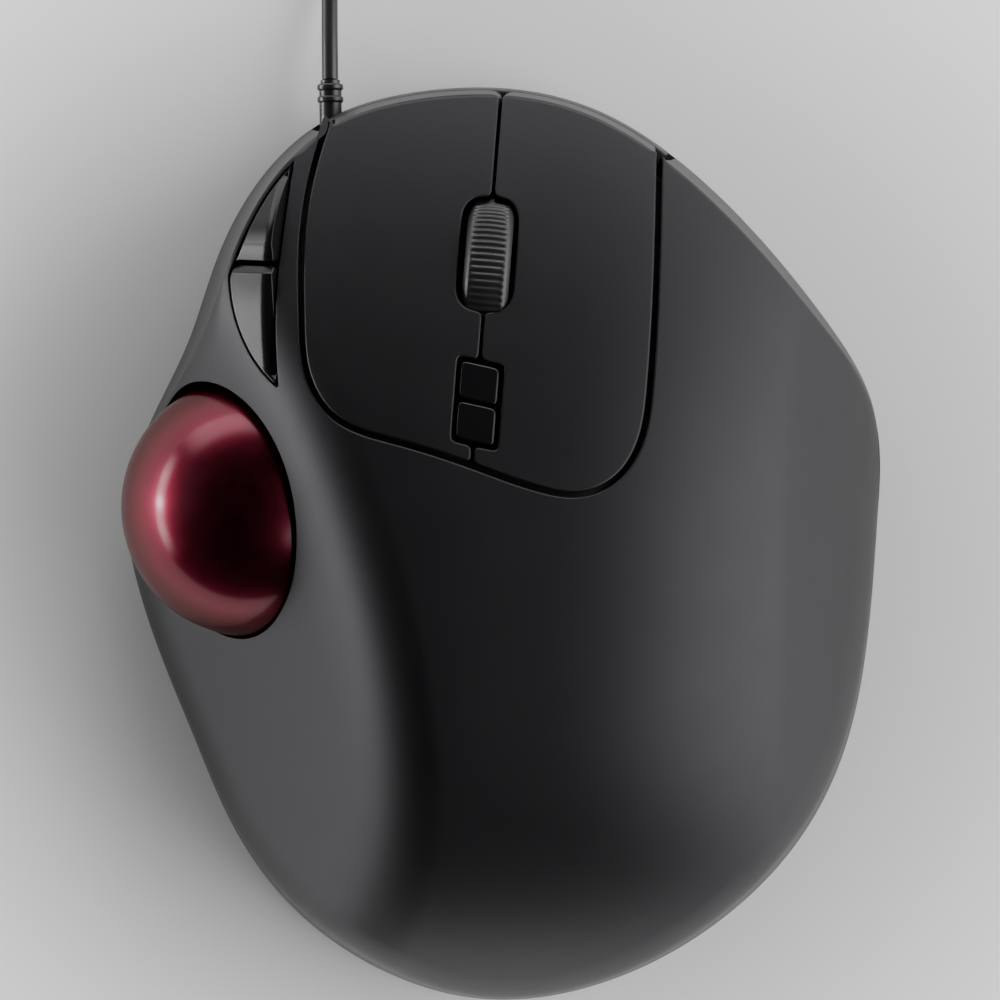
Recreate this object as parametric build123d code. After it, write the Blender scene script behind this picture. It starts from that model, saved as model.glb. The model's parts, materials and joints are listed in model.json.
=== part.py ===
from build123d import *

import os
from functools import lru_cache
from math import atan2, cos, degrees, exp, hypot, log1p, pi, radians, sin, sqrt, tan

# Thumb trackball mouse, in millimetres.
# +Y points to the cable end, +X to the finger side, -X to the thumb side, +Z up.
# The origin is on the table, under the middle of the case's footprint.

# ---------------------------------------------------------------- driving dimensions
BALL_R = 17.0                         # standard 34 mm thumb ball
BALL = (-32.7, 2.6, 24.0)             # its centre
SOCKET_TILT = 20.0                    # the socket looks up and this much to the thumb side

WALL = 2.2                            # top shell
KEY_WALL = 2.0                        # main keys
PART_Z = 6.0                          # parting line of the two case halves
FLOOR_Z = 0.8                         # underside of the base plate
FLOOR_T = 2.0
DRAFT = 0.128                         # side walls lean in by this much per unit of height
ROOF_Z = 56.0                         # above everything

CROWN_TURN = 4.4                      # the palm arch is turned this much from the wheel
GRID = 2.0                            # spacing of the points that carry the crown surface

MID_X = -4.4                          # split between the main keys, and the wheel's plane
KEY_GAP = 0.75                        # around the main keys
SPLIT_GAP = 0.4                       # between them
SKIRT_Z = 15.0                        # lower edge of the keys' front skirts
WINDOW_Z = 14.0                       # lower edge of the shell's opening for them
KEY_HINGE = (19.0, 36.5)              # y and z of the keys' hinge line
HINGE_R = 1.5
RUN = 0.05                            # radial clearance of a running fit
FRAME_DROP = 3.4                      # the key frame runs this far below the crown

WHEEL = (33.3, 29.7)                  # y and z of the wheel's axle
WHEEL_R = 11.4
WHEEL_W = 5.9
AXLE_R = 1.5
SLOT = (-4.5, 37.1, 7.3, 15.1)        # centre x and y, width and length of the wheel's slot

DPI_X = -4.25
DPI_Y = {"front": 20.45, "rear": 15.3}
DPI_SIZE = (4.9, 4.75)
DPI_SLANT = 0.14                      # their front and rear edges slope down to the finger side

SIDE_ARC = (-19.8, 34.55, 18.3)        # centre x and y and radius of the thumb keys' outer arc
SIDE_EDGE = ((-33.15, 48.0), (-28.0, 17.0))
SIDE_SPLIT_Y = 33.7
SIDE_GAP = 0.35
SIDE_PROUD = 0.7                      # the thumb keys stand this far above the flank
SIDE_PRESS = (0.43, 0.0, -0.90)       # the way that they are pressed

BOARD_Z = 16.0                        # underside of the main board
BOARD_T = 1.6
SWITCH = (5.8, 12.8, 6.5)             # a mouse microswitch
SWITCH_XY = {"left": (-15.0, 44.0), "right": (8.0, 44.0)}
PLUNGER_UP = 0.8                      # a plunger stands this far above its switch
TOUCH = 0.12                          # gap between a key's rib and its plunger

CASE_SCREWS = [(-18.0, 54.0), (27.0, 35.0), (-24.0, -37.0), (28.0, -36.0)]
FRAME_SCREWS = [(-12.5, 8.0), (10.0, 3.0)]
BOARD_SCREWS = [(-16.0, 19.0), (17.0, 19.0), (17.0, 45.0), (-8.0, 48.0)]

CABLE_D = 2.2
EXIT = (-27.2, 56.6, 6.0)             # middle of the front left wall, where the cable leaves
EXIT_WAY = (-0.09, 0.996)

COIL_R = 13.2                         # middle of the put-away coil's turns
COIL_PITCH = 2.25
COIL_COLUMNS = 5
COIL_ROWS = 4
COIL_LOW = 1.25                       # height of the lowest turns' centreline
COIL = (-11.8, 99.5)                  # its centre
PLUG = (-4.0, 120.0, 4.1)             # rear end of the plug, which lies along +X
PLUG_GRIP = (20.0, 15.6, 7.8)         # length, width and height of its moulded grip
PLUG_METAL = (12.0, 12.0, 4.5)        # and of its metal shell
PLUG_METAL_T = 0.3

# The case's footprint at the parting line, from the front middle round the thumb side.
FOOTPRINT = [
    (-2.0, 61.3), (-10.5, 60.9), (-18.1, 59.4), (-27.9, 55.2), (-36.3, 46.3), (-41.2, 35.2),
    (-44.1, 24.1), (-48.4, 12.8), (-50.7, 1.5), (-48.6, -8.6), (-44.3, -19.0), (-39.1, -29.4),
    (-33.6, -39.8), (-25.3, -50.0), (-14.5, -57.2), (1.5, -61.3), (19.7, -57.3), (33.7, -48.1),
    (43.3, -36.6), (48.1, -25.4), (50.4, -9.1), (50.5, 7.1), (48.4, 23.2), (41.6, 33.4),
    (32.1, 43.5), (20.1, 53.4), (9.3, 59.1),
]

# The gap round the main keys, from the front left corner, round the back, to the front right.
KEY_LINE = [
    (-26.3, 53.7), (-27.8, 45.6), (-28.2, 36.5), (-27.3, 26.6), (-25.7, 19.2), (-22.2, 14.8),
    (-14.0, 12.2), (-3.9, 9.8), (4.6, 7.6), (9.6, 7.4), (14.2, 10.0), (16.7, 14.8),
    (17.4, 21.5), (17.3, 35.9), (16.7, 52.8),
]


# ---------------------------------------------------------------- the crown surface
def soft_step(t, k):
    """Zero below nought, t above it, with a soft corner of size k."""
    return t if t > 30 * k else k * log1p(exp(t / k))


def smooth_min(a, b, k):
    h = min(1.0, max(0.0, 0.5 + 0.5 * (b - a) / k))
    return b * (1 - h) + a * h - k * h * (1 - h)


def crown(x, y):
    """Height of the case's upper surface over the table."""
    turn = radians(CROWN_TURN)
    u = x * cos(turn) + y * sin(turn)
    v = -x * sin(turn) + y * cos(turn)
    back = soft_step(-v - 3.0, 3.0)
    front = soft_step(v + 3.0, 6.0)
    q = 1 - abs((u - 2.2) / 62.0) ** 2.6 - (back / 60.0) ** 2.4
    q = 0.5 * (q + sqrt(q * q + 0.01))
    arch = 1.5 + 46.4 * sqrt(q) - 0.15 * (u - 2.2) - 0.0032 * soft_step(u - 8.2, 4) ** 2
    arch = arch - 0.10 * front - 0.0040 * front ** 2
    beyond = -0.97 * (u + 22.6) - 0.243 * v
    flank = 44.7 - 1.46 * beyond + 0.004 * soft_step(beyond, 4) ** 2
    ledge = soft_step(u - 36.2 - 0.0016 * max(0.0, v + 12) ** 2, 0.9)
    return smooth_min(arch, flank, 10.0) - 0.55 * ledge - 0.018 * ledge ** 2


def crown_stretch(x, y, step=0.5):
    """Vertical thickness of a skin there, per unit of its real thickness."""
    gx = (crown(x + step, y) - crown(x - step, y)) / (2 * step)
    gy = (crown(x, y + step) - crown(x, y - step)) / (2 * step)
    return min(2.6, sqrt(1 + gx * gx + gy * gy))


def frange(low, high, step):
    count = round((high - low) / step)
    return [low + (high - low) * i / count for i in range(count + 1)]


@lru_cache(None)
def under_crown(thickness=0.0):
    """Everything below the crown, less a skin of that thickness."""
    rows = []
    for x in frange(-55, 55, GRID):
        row = []
        for y in frange(-66, 66, GRID):
            drop = thickness * crown_stretch(x, y) if thickness else 0.0
            row.append(Vector(x, y, crown(x, y) - drop))
        rows.append(row)
    sheet = Face.make_surface_from_array_of_points(rows, tol=0.05, min_deg=3, max_deg=3)
    return Solid.extrude(sheet, Vector(0, 0, -90))


# ---------------------------------------------------------------- outlines
def shift_points(points, distance, closed):
    """Move each point to the left of the line's own direction."""
    moved = []
    last = len(points) - 1
    for i, (x, y) in enumerate(points):
        before = points[i - 1] if i > 0 or closed else points[0]
        after = points[(i + 1) % len(points)] if i < last or closed else points[last]
        dx, dy = after[0] - before[0], after[1] - before[1]
        size = hypot(dx, dy)
        moved.append((x - dy / size * distance, y + dx / size * distance))
    return moved


def footprint_wire(z, inset):
    points = [(x, y, z) for x, y in shift_points(FOOTPRINT, inset, True)]
    return Wire([Edge.make_spline(points, periodic=True)])


def case_block(inset, z_low=PART_Z):
    """The tapered body of the case, before the crown is cut."""
    low = inset + DRAFT * (z_low - 3.5)
    high = inset + DRAFT * (ROOF_Z - 3.5)
    rings = [footprint_wire(z_low, low), footprint_wire(ROOF_Z, high)]
    return Solid.make_loft(rings, ruled=True)


def key_face(shift, z):
    """The main keys' region; a positive shift makes it larger."""
    line = shift_points(KEY_LINE, -shift, False)
    curve = Edge.make_spline([(x, y, z) for x, y in line])
    left = (line[0][0], 72.0, z)
    right = (line[-1][0], 72.0, z)
    rest = Polyline((line[-1][0], line[-1][1], z), right, left, (line[0][0], line[0][1], z))
    return Face(Wire([curve] + rest.edges()))


def key_block(shift, z_low):
    return Solid.extrude(key_face(shift, z_low), Vector(0, 0, ROOF_Z + 2 - z_low))


def box(x0, x1, y0, y1, z0, z1):
    middle = Pos((x0 + x1) / 2, (y0 + y1) / 2, (z0 + z1) / 2)
    return middle * Box(x1 - x0, y1 - y0, z1 - z0)


def rod(x, y, z0, z1, r):
    return Pos(x, y, (z0 + z1) / 2) * Cylinder(r, z1 - z0)


def bar(x0, x1, y, z, r):
    """A round bar along X."""
    return Pos((x0 + x1) / 2, y, z) * Rot(0, 90, 0) * Cylinder(r, x1 - x0)


def only(shape):
    """The one solid of a boolean's result, the largest if slivers came with it."""
    return max(shape.solids(), key=lambda s: s.volume)


def save(shape, name):
    shape.label = name
    export_step(shape, f"parts/{name}.step")


# ---------------------------------------------------------------- case
@lru_cache(None)
def outer_case():
    return case_block(0.0) & under_crown()


@lru_cache(None)
def inner_case(thickness, z_low=PART_Z - 2):
    return case_block(thickness, z_low) & under_crown(thickness)


def side_pocket(gap, z_low, z_high):
    """The thumb keys' crescent, sheared along the way they are pressed."""
    cx, cy, r = SIDE_ARC
    level = 38.0
    disc = Pos(cx, cy, level) * Circle(r + gap)
    (x0, y0), (x1, y1) = SIDE_EDGE
    far = 40.0
    keep = Polygon(
        (x0 + gap, y0), (x0 - far, y0), (x1 - far, y1), (x1 + gap, y1), align=None
    )
    crescent = disc & (Pos(0, 0, level) * keep)
    way = Vector(*SIDE_PRESS).normalized()
    face = crescent.faces()[0]
    low = Pos(*(way * (level - z_low))) * face
    return Solid.extrude(low, way * (z_low - z_high))


def top_shell():
    bosses = [rod(x, y, PART_Z - 3, ROOF_Z, 3.2) for x, y in CASE_SCREWS[1:]]
    bosses.append(rod(*CASE_SCREWS[0], PART_Z - 3, WINDOW_Z - 0.5, 3.2))
    bosses += [rod(x, y, 35.0, ROOF_Z, 2.6) for x, y in FRAME_SCREWS]
    cavity = inner_case(WALL)
    for boss in bosses:
        cavity = cavity - boss
    shell = outer_case() - cavity
    shell = shell - key_block(KEY_GAP / 2, WINDOW_Z)
    shell = shell - Pos(*BALL) * Sphere(BALL_R + 0.5)
    shell = shell - side_pocket(SIDE_GAP, 20, 52)
    for x, y in CASE_SCREWS:
        shell = shell - rod(x, y, PART_Z - 4, PART_Z + 6.5, 1.25)
    for x, y in FRAME_SCREWS:
        shell = shell - rod(x, y, 30, 41, 1.05)
    shell = shell - cable_gate()
    return only(shell)


def exit_frame():
    """A frame whose z axis runs out along the cable at the exit."""
    return Plane(origin=EXIT, x_dir=(0, 0, 1), z_dir=(EXIT_WAY[0], EXIT_WAY[1], 0))


def cable_gate():
    """The round hole, half in each case half, that the strain relief sits in."""
    return exit_frame().location * Pos(0, 0, -3) * Cylinder(1.6, 16)


def base_plate():
    inset = 0.25
    floor = FLOOR_Z
    rings = [footprint_wire(floor, inset + 0.9), footprint_wire(floor + 1.2, inset)]
    foot = Solid.make_loft(rings, ruled=True)
    rings = [footprint_wire(floor + 1.2, inset), footprint_wire(PART_Z, inset + 0.1)]
    body = foot + Solid.make_loft(rings, ruled=True)
    rings = [footprint_wire(floor + FLOOR_T, WALL + inset), footprint_wire(PART_Z + 1, WALL + inset)]
    body = body - Solid.make_loft(rings, ruled=True)
    for x, y in CASE_SCREWS:
        body = body + rod(x, y, floor + FLOOR_T - 0.2, PART_Z, 3.2)
    for x, y in BOARD_SCREWS:
        body = body + rod(x, y, floor + FLOOR_T - 0.2, BOARD_Z, 2.4)
    for x, y in CASE_SCREWS:
        body = body - rod(x, y, 0, PART_Z + 1, 1.4)
        body = body - rod(x, y, 0, floor + 2.2, 2.6)
    for x, y in BOARD_SCREWS:
        body = body - rod(x, y, BOARD_Z - 7, BOARD_Z + 1, 1.05)
    body = body - rod(BALL[0], BALL[1], 0, PART_Z, 6.5)
    body = body - cable_gate()
    return only(body)


def rubber_feet():
    places = [(-2, 53.5, 0), (43.0, -3, 90), (1, -53.5, 0), (-41.5, -14.5, 114)]
    pads = []
    for x, y, turn in places:
        pads.append(Pos(x, y, 0) * Rot(0, 0, turn) * extrude(SlotOverall(20, 6), FLOOR_Z))
    return Compound(children=pads)


def rating_label():
    blank = RectangleRounded(36, 22, 2)
    return Pos(9, -14, FLOOR_Z - 0.12) * extrude(blank, 0.12)


def screw(x, y, z, head_r, head_h, shank_r, length):
    """A pan-head screw, driven upwards, with its head's outer face at z."""
    head = rod(x, y, z, z + head_h, head_r)
    head = chamfer(head.edges().group_by(Axis.Z)[0], head_h * 0.3)
    shank = rod(x, y, z + head_h, z + length - shank_r, shank_r)
    tip = Pos(x, y, z + length - shank_r / 2) * Cone(shank_r, shank_r * 0.3, shank_r)
    cross = box(x - head_r * 0.6, x + head_r * 0.6, y - 0.25, y + 0.25, z - 1, z + head_h * 0.6)
    cross = cross + Pos(x, y) * Rot(0, 0, 90) * Pos(-x, -y) * cross
    return only(head + shank + tip - cross)


def screw_group(places, z, head_r, head_h, shank_r, length):
    return Compound(children=[screw(x, y, z, head_r, head_h, shank_r, length) for x, y in places])


def down_screws(places, z, head_r, head_h, shank_r, length):
    """The same screws driven downwards, with their heads' outer faces at z."""
    flip = Pos(0, 0, z) * Rot(180, 0, 0)
    turned = [screw(x, -y, 0, head_r, head_h, shank_r, length) for x, y in places]
    return Compound(children=[flip * one for one in turned])


# ---------------------------------------------------------------- main keys and their frame
def key_skin():
    block = outer_case() - (case_block(KEY_WALL, SKIRT_Z - 2) & under_crown(KEY_WALL))
    return block & key_block(-KEY_GAP / 2, SKIRT_Z)


def wheel_slot():
    x, y, width, length = SLOT
    slot = Pos(x, y, 20) * extrude(Rot(0, 0, 90) * SlotOverall(length, width), 40)
    return slot + bar(x - width / 2, x + width / 2, *WHEEL, WHEEL_R + 0.9)


def slanted_face(y, width, length, corner):
    """A DPI key's outline: straight sides, slanted front and rear edges."""
    w, h, s = width / 2, length / 2, DPI_SLANT * width / 2
    outline = Polygon((-w, -h + s), (w, -h - s), (w, h - s), (-w, h + s), align=None)
    return Pos(DPI_X, y) * fillet(outline.vertices(), corner)


def dpi_pocket():
    front, rear = DPI_Y["front"], DPI_Y["rear"]
    length = front - rear + DPI_SIZE[1] + 1.1
    outline = slanted_face((front + rear) / 2, DPI_SIZE[0] + 1.1, length, 1.2)
    return Pos(0, 0, 25) * extrude(outline, 35)


def hinge_places(side):
    """The hinge bar's two ends in x."""
    return (-22.0, -10.0) if side == "left" else (1.5, 11.5)


def main_key(side, skin):
    """One main key: its half of the skin, hinge bar and web, and the rib over its switch."""
    edge = MID_X - SPLIT_GAP / 2 if side == "left" else MID_X + SPLIT_GAP / 2
    half = box(-60, edge, -10, 80, 0, 70) if side == "left" else box(edge, 60, -10, 80, 0, 70)
    key = only(skin & half)
    x0, x1 = hinge_places(side)
    inside = inner_case(KEY_WALL / 2, 8.0)
    web = box(x0 + 2.4, x1 - 2.4, KEY_HINGE[0] - 1, KEY_HINGE[0] + 1, KEY_HINGE[1], 60) & inside
    x, y = SWITCH_XY[side]
    rib_z = BOARD_Z + BOARD_T + SWITCH[2] + PLUNGER_UP + TOUCH
    rib = (box(x - 2.5, x + 2.5, y - 0.8, y + 0.8, rib_z, 60) & inside)
    rib = rib + (box(x - 0.8, x + 0.8, y - 3, y + 3, rib_z + 1, 60) & inside)
    key = key + web + bar(x0 + 0.2, x1 - 0.2, *KEY_HINGE, HINGE_R) + rib
    return only(key - wheel_slot() - dpi_pocket())


def dpi_stem_y(place):
    return DPI_Y[place] - 0.5


@lru_cache(None)
def frame_ceiling():
    """Everything below the key frame's upper face."""
    return Pos(0, 0, -FRAME_DROP) * under_crown()


def frame_rails():
    """The rail that follows the gap: thin along the sides, down to the plate at the rear."""
    strip = key_block(1.2, 20) - key_block(-1.5, 19)
    strip = strip & case_block(WALL + 0.3, 10)
    strip = strip & frame_ceiling()
    sides = strip - Pos(0, 0, -1.6) * frame_ceiling()
    sides = sides & box(-60, 60, 20, 53, 20, 60)
    return sides + (strip & box(-60, 60, -10, 21, 33, 60))


def hinge_ears():
    y, z = KEY_HINGE
    ears = []
    bores = []
    for side in ("left", "right"):
        x0, x1 = hinge_places(side)
        for low, high in ((x0, x0 + 2), (x1 - 2, x1)):
            ears.append(box(low, high, y - 2, y + 2, 34, z) + bar(low, high, y, z, 2.4))
            bores.append(bar(low - 0.1, high + 0.1, y, z, HINGE_R + RUN))
    return ears, bores


def dpi_collar():
    """The frame's rim round the DPI keys, standing over their board."""
    collar = Pos(0, 0, 34.5) * extrude(dpi_outline(1.25), 20)
    collar = collar - Pos(0, 0, 30) * extrude(dpi_outline(0.3), 30)
    collar = collar & (Pos(0, 0, -3.2) * under_crown())
    return collar - box(-11.1, 2.1, 12.4, 21.8, 34, 36.1)


def key_frame():
    """The black frame below the gap, with the keys' bearings and the DPI keys' rim."""
    frame = frame_rails() + box(-26, 16, 8, 21.0, 33, 35) + dpi_collar()
    for x, y in FRAME_SCREWS:
        frame = frame + rod(x, y, 33, 35, 3.0) + box(x - 3, x + 3, y, 12, 33, 35)
    ears, bores = hinge_ears()
    for ear in ears:
        frame = frame + ear
    for bore in bores:
        frame = frame - bore
    frame = frame - bar(-9, 0, *WHEEL, WHEEL_R + 0.8)
    frame = frame - Pos(*BALL) * Sphere(BALL_R + 1.5)
    for x, y in FRAME_SCREWS:
        frame = frame - rod(x, y, 30, 36, 1.15)
    return only(frame)


def dpi_outline(margin):
    front, rear = DPI_Y["front"], DPI_Y["rear"]
    length = front - rear + DPI_SIZE[1] + 2 * margin
    return slanted_face((front + rear) / 2, DPI_SIZE[0] + 2 * margin, length, 0.8)


# ---------------------------------------------------------------- small keys
def dpi_key(place):
    z_board = 36.0
    stem_z = z_board + 2.0 + 0.5 + TOUCH
    cap = Pos(0, 0, 30) * extrude(slanted_face(DPI_Y[place], *DPI_SIZE, 0.6), 30)
    low = Pos(0, 0, -2.6) * under_crown()
    cap = cap & (Pos(0, 0, 0.15) * under_crown()) - low
    cap = fillet(cap.faces().sort_by(Axis.Z)[-1].edges(), 0.3)
    stem = rod(DPI_X, dpi_stem_y(place), stem_z, 50, 1.2) & (Pos(0, 0, -1) * under_crown())
    return only(cap + stem)


def side_key(place):
    """A thumb key: its part of the crescent, standing proud, with a stem to its switch."""
    block = side_pocket(0.0, 22, 50)
    gap = 0.15
    if place == "forward":
        block = block & box(-60, 0, SIDE_SPLIT_Y + gap, 60, 0, 60)
    else:
        block = block & box(-60, 0, 0, SIDE_SPLIT_Y - gap, 0, 60)
    cap = block & (Pos(0, 0, SIDE_PROUD) * under_crown()) - Pos(0, 0, -2.6) * under_crown()
    stem = side_stem(place) & (Pos(0, 0, -1.5) * under_crown())
    return only(only(cap) + stem)


SIDE_STEM_Y = {"forward": 38.5, "back": 27.5}
SIDE_LEVEL = 10.5                     # from the crescent's middle down to the board's face


def side_frame(y):
    """A frame on the thumb keys' board, z towards the keys."""
    way = Vector(*SIDE_PRESS).normalized()
    origin = Vector(-34.0, y, 38.0) + way * SIDE_LEVEL
    return Plane(origin=origin, x_dir=(0, 1, 0), z_dir=way * -1)


def side_stem(place):
    low = 2.0 + 0.5 + TOUCH
    stem = Pos(0, 0, low + 5.5) * Cylinder(1.3, 11)
    return side_frame(SIDE_STEM_Y[place]).location * stem


def tact_switch():
    """A low tact switch on z = 0, with its round well."""
    body = Pos(0, 0, 1.0) * Box(3.8, 3.8, 2.0)
    body = chamfer(body.edges().filter_by(Axis.Z), 0.3)
    return body - Pos(0, 0, 1.25) * Cylinder(1.2, 1.7)


def tact_plunger():
    return Pos(0, 0, 1.05 + 0.725) * Cylinder(1.1, 1.45)


def side_switch_board():
    board = Pos(0, 0, -0.5) * Box(18, 6, 1.0)
    return side_frame(33.0).location * board


# ---------------------------------------------------------------- switches and boards
def micro_switch(side):
    x, y = SWITCH_XY[side]
    z = BOARD_Z + BOARD_T
    body = Pos(x, y, z + SWITCH[2] / 2) * Box(*SWITCH)
    body = chamfer(body.edges().filter_by(Axis.Z), 0.5)
    body = body - box(x - 3, x + 3, y - 6.5, y + 6.5, z + 4.1, z + 4.3) + rod(x, y, z + 4, z + 4.4, 2)
    return only(body - rod(x, y, z + 5.2, z + 7, 1.35))


def micro_plunger(side):
    x, y = SWITCH_XY[side]
    z = BOARD_Z + BOARD_T + SWITCH[2]
    return rod(x, y, z - 0.7, z + PLUNGER_UP, 1.2)


def main_board():
    board = box(-19.5, 19, 16, 50, BOARD_Z, BOARD_Z + BOARD_T)
    board = fillet(board.edges().filter_by(Axis.Z), 2.0)
    board = board - box(MID_X - 4.2, MID_X + 4.2, 19, 45, BOARD_Z - 1, BOARD_Z + 3)
    for x, y in BOARD_SCREWS:
        board = board - rod(x, y, BOARD_Z - 1, BOARD_Z + 3, 1.15)
    return only(board)


def controller_chip():
    z = BOARD_Z + BOARD_T
    body = box(6.5, 13.5, 24, 31, z, z + 1.0)
    body = chamfer(body.faces().sort_by(Axis.Z)[-1].edges(), 0.2)
    return only(body - rod(7.5, 30, z + 0.8, z + 2, 0.4))


def cable_connector():
    z = BOARD_Z + BOARD_T
    body = box(-18.8, -14.7, 25.5, 33.5, z, z + 4.5)
    return body - box(-18.0, -15.5, 26.3, 32.7, z + 1.5, z + 5)


def wheel_encoder():
    z = BOARD_Z + BOARD_T
    y, axle_z = WHEEL
    body = box(1.6, 6.4, y - 4.0, y + 4.0, z, axle_z + 4.6)
    body = chamfer(body.edges().filter_by(Axis.X).sort_by(Axis.Z)[-2:], 1.5)
    return body - bar(0, 8, y, axle_z, AXLE_R + 0.15)


CARRIAGE_X = (-13.4, -10.4)


def wheel_carriage():
    """The bearing block at the axle's free end, with its foot over the middle switch."""
    y, z = WHEEL
    x0, x1 = CARRIAGE_X
    block = box(x0, x1, y - 9, y + 3.5, z - 4, z + 2.8)
    block = fillet(block.edges().filter_by(Axis.X), 1.0)
    foot_z = BOARD_Z + BOARD_T + 3.5 + 0.6 + TOUCH
    block = block + box(x0, x1, y - 1.5, y + 1.5, foot_z, z - 3)
    spring_peg = rod((x0 + x1) / 2, y - 6.5, z - 5.5, z - 4, 0.9)
    block = block + spring_peg - bar(x0 - 1, x1 + 1, y, z, AXLE_R + RUN)
    return only(block)


def middle_switch():
    x = sum(CARRIAGE_X) / 2
    z = BOARD_Z + BOARD_T
    body = box(x - 2.4, x + 2.4, WHEEL[0] - 3, WHEEL[0] + 3, z, z + 3.5)
    body = chamfer(body.edges().filter_by(Axis.Z), 0.4)
    return body - rod(x, WHEEL[0], z + 1.7, z + 4, 1.35)


def middle_plunger():
    z = BOARD_Z + BOARD_T + 3.5
    return rod(sum(CARRIAGE_X) / 2, WHEEL[0], z - 1, z + 0.6, 1.2)


def carriage_spring():
    """A light coil spring between the board and the carriage."""
    x = sum(CARRIAGE_X) / 2
    low = BOARD_Z + BOARD_T + 0.2
    high = WHEEL[1] - 4 - 0.2
    path = Helix(pitch=(high - low) / 6, height=high - low, radius=1.45)
    start = Plane(origin=path @ 0, z_dir=path % 0)
    wire = sweep(start * Circle(0.2), path=path)
    return Pos(x, WHEEL[0] - 6.5, low) * wire


def wheel_hub():
    y, z = WHEEL
    x = MID_X
    hub = bar(x - 2.2, x + 2.2, y, z, WHEEL_R - 2.0)
    hub = hub - bar(x + 1.0, x + 3, y, z, WHEEL_R - 3.4) - bar(x - 3, x - 1.0, y, z, WHEEL_R - 3.4)
    axle = bar(-14.0, 6.6, y, z, AXLE_R)
    collars = bar(x - 5.4, x - 0.5, y, z, 2.4) + bar(x + 0.5, x + 5.4, y, z, 2.4)
    return only(hub + axle + collars)


def wheel_tyre():
    y, z = WHEEL
    tyre = bar(MID_X - WHEEL_W / 2, MID_X + WHEEL_W / 2, y, z, WHEEL_R)
    tyre = chamfer(tyre.edges(), 0.9)
    return tyre - bar(MID_X - 5, MID_X + 5, y, z, WHEEL_R - 2.0)


# ---------------------------------------------------------------- ball, cup and sensor
def socket_axes():
    """The socket's axis, and two directions square to it."""
    tilt = radians(SOCKET_TILT)
    return Vector(-sin(tilt), 0, cos(tilt)), Vector(-cos(tilt), 0, -sin(tilt)), Vector(0, 1, 0)


def bead_places():
    """Three beads, evenly spaced round the lower half of the socket."""
    axis, across, along = socket_axes()
    polar = radians(55)
    places = []
    for i in range(3):
        turn = 2 * pi * i / 3
        side = across * cos(turn) + along * sin(turn)
        places.append(axis * -cos(polar) + side * sin(polar))
    return places


BEAD_R = 1.25
CUP_IN = BALL_R + 0.6
CUP_OUT = CUP_IN + 1.8


def ball_cup():
    centre = Pos(*BALL)
    cup = centre * Sphere(CUP_OUT) & box(-60, 0, -30, 40, 0, BALL[2] + 7)
    cup = cup & (Pos(0, 0, -0.35) * inner_case(WALL))
    cup = cup + rod(BALL[0], BALL[1], FLOOR_Z + FLOOR_T, 8, 9.0)
    cup = cup - centre * Sphere(CUP_IN) - rod(BALL[0], BALL[1], 0, 10, 6.5)
    for way in bead_places():
        hole = Plane(origin=Vector(*BALL) + way * BALL_R, z_dir=way)
        cup = cup - hole.location * Pos(0, 0, 1.5) * Cylinder(BEAD_R + RUN, 4.5)
    cup = cup - sensor_frame(0).location * Cylinder(3.2, 8)
    return only(cup)


def ball_bearings():
    beads = []
    for way in bead_places():
        place = Vector(*BALL) + way * (BALL_R + BEAD_R + 0.03)
        beads.append(Pos(*place) * Sphere(BEAD_R))
    return Compound(children=beads)


def sensor_frame(out):
    """A frame on the sensor's line of sight, that far outside the ball, z pointing away."""
    tilt = radians(20)
    way = Vector(cos(tilt), 0, -sin(tilt))
    return Plane(origin=Vector(*BALL) + way * (BALL_R + out), x_dir=(0, 1, 0), z_dir=way)


def sensor_lens():
    dome = Pos(0, 0, 0.9) * Cylinder(2.6, 1.8) + Pos(0, 0, 2.3) * Box(13, 9, 1.0)
    return sensor_frame(1.0).location * only(dome)


def sensor_chip():
    body = Pos(0, 0, 1.0) * Box(10.5, 8.5, 2.0)
    body = chamfer(body.edges().filter_by(Axis.Z), 0.4)
    return sensor_frame(3.8).location * body


def sensor_board():
    board = Pos(0, 0, 0.6) * Box(22, 14, 1.2)
    for x in (-9, 9):
        board = board - Pos(x, 0, 0) * Cylinder(1.1, 4)
    return sensor_frame(5.8).location * board


# ---------------------------------------------------------------- cable
def strain_relief():
    """A ribbed sleeve through the front left wall, held by a flange inside."""
    neck = Pos(0, 0, -3.1) * Cylinder(1.5, 10.8)
    flange = Pos(0, 0, -8.3) * Cylinder(2.6, 1.2)
    parts = neck + flange + Pos(0, 0, 2.9) * Cylinder(1.3, 1.6)
    for z in (1.1, 2.75):
        ring = Pos(0, 0, z) * Cylinder(1.75, 0.9)
        parts = parts + fillet(ring.edges().filter_by(GeomType.CIRCLE), 0.3)
    return exit_frame().location * only(parts)


def cable_start(out):
    return (EXIT[0] + EXIT_WAY[0] * out, EXIT[1] + EXIT_WAY[1] * out, EXIT[2])


def cable_route():
    """From the strain relief's tip down to the table and into the coil's outer turn."""
    coil_x = COIL[0] - COIL_R - COIL_PITCH * (COIL_COLUMNS - 1) / 2
    return [
        cable_start(3.7),
        (-27.95, 64.6, 5.2),
        (-28.45, 70.0, 3.3),
        (-28.95, 76.0, 1.6),
        (-29.5, 83.0, 1.15),
        (-29.75, 91.0, 1.15),
        (coil_x, 97.5, COIL_LOW),
    ]


def rounded_path(points, diameter):
    """Straight runs joined by the largest tangent arcs; prints the arcs' radii."""
    points = [Vector(*p) for p in points]
    radii = []
    for before, here, after in zip(points, points[1:], points[2:]):
        turn = radians((here - before).get_angle(after - here))
        shorter = min((here - before).length, (after - here).length)
        radii.append(0.45 * shorter / tan(turn / 2))
    print("arc radii in diameters:", [round(r / diameter, 1) for r in radii])
    return FilletPolyline(*points, radius=radii)


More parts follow.
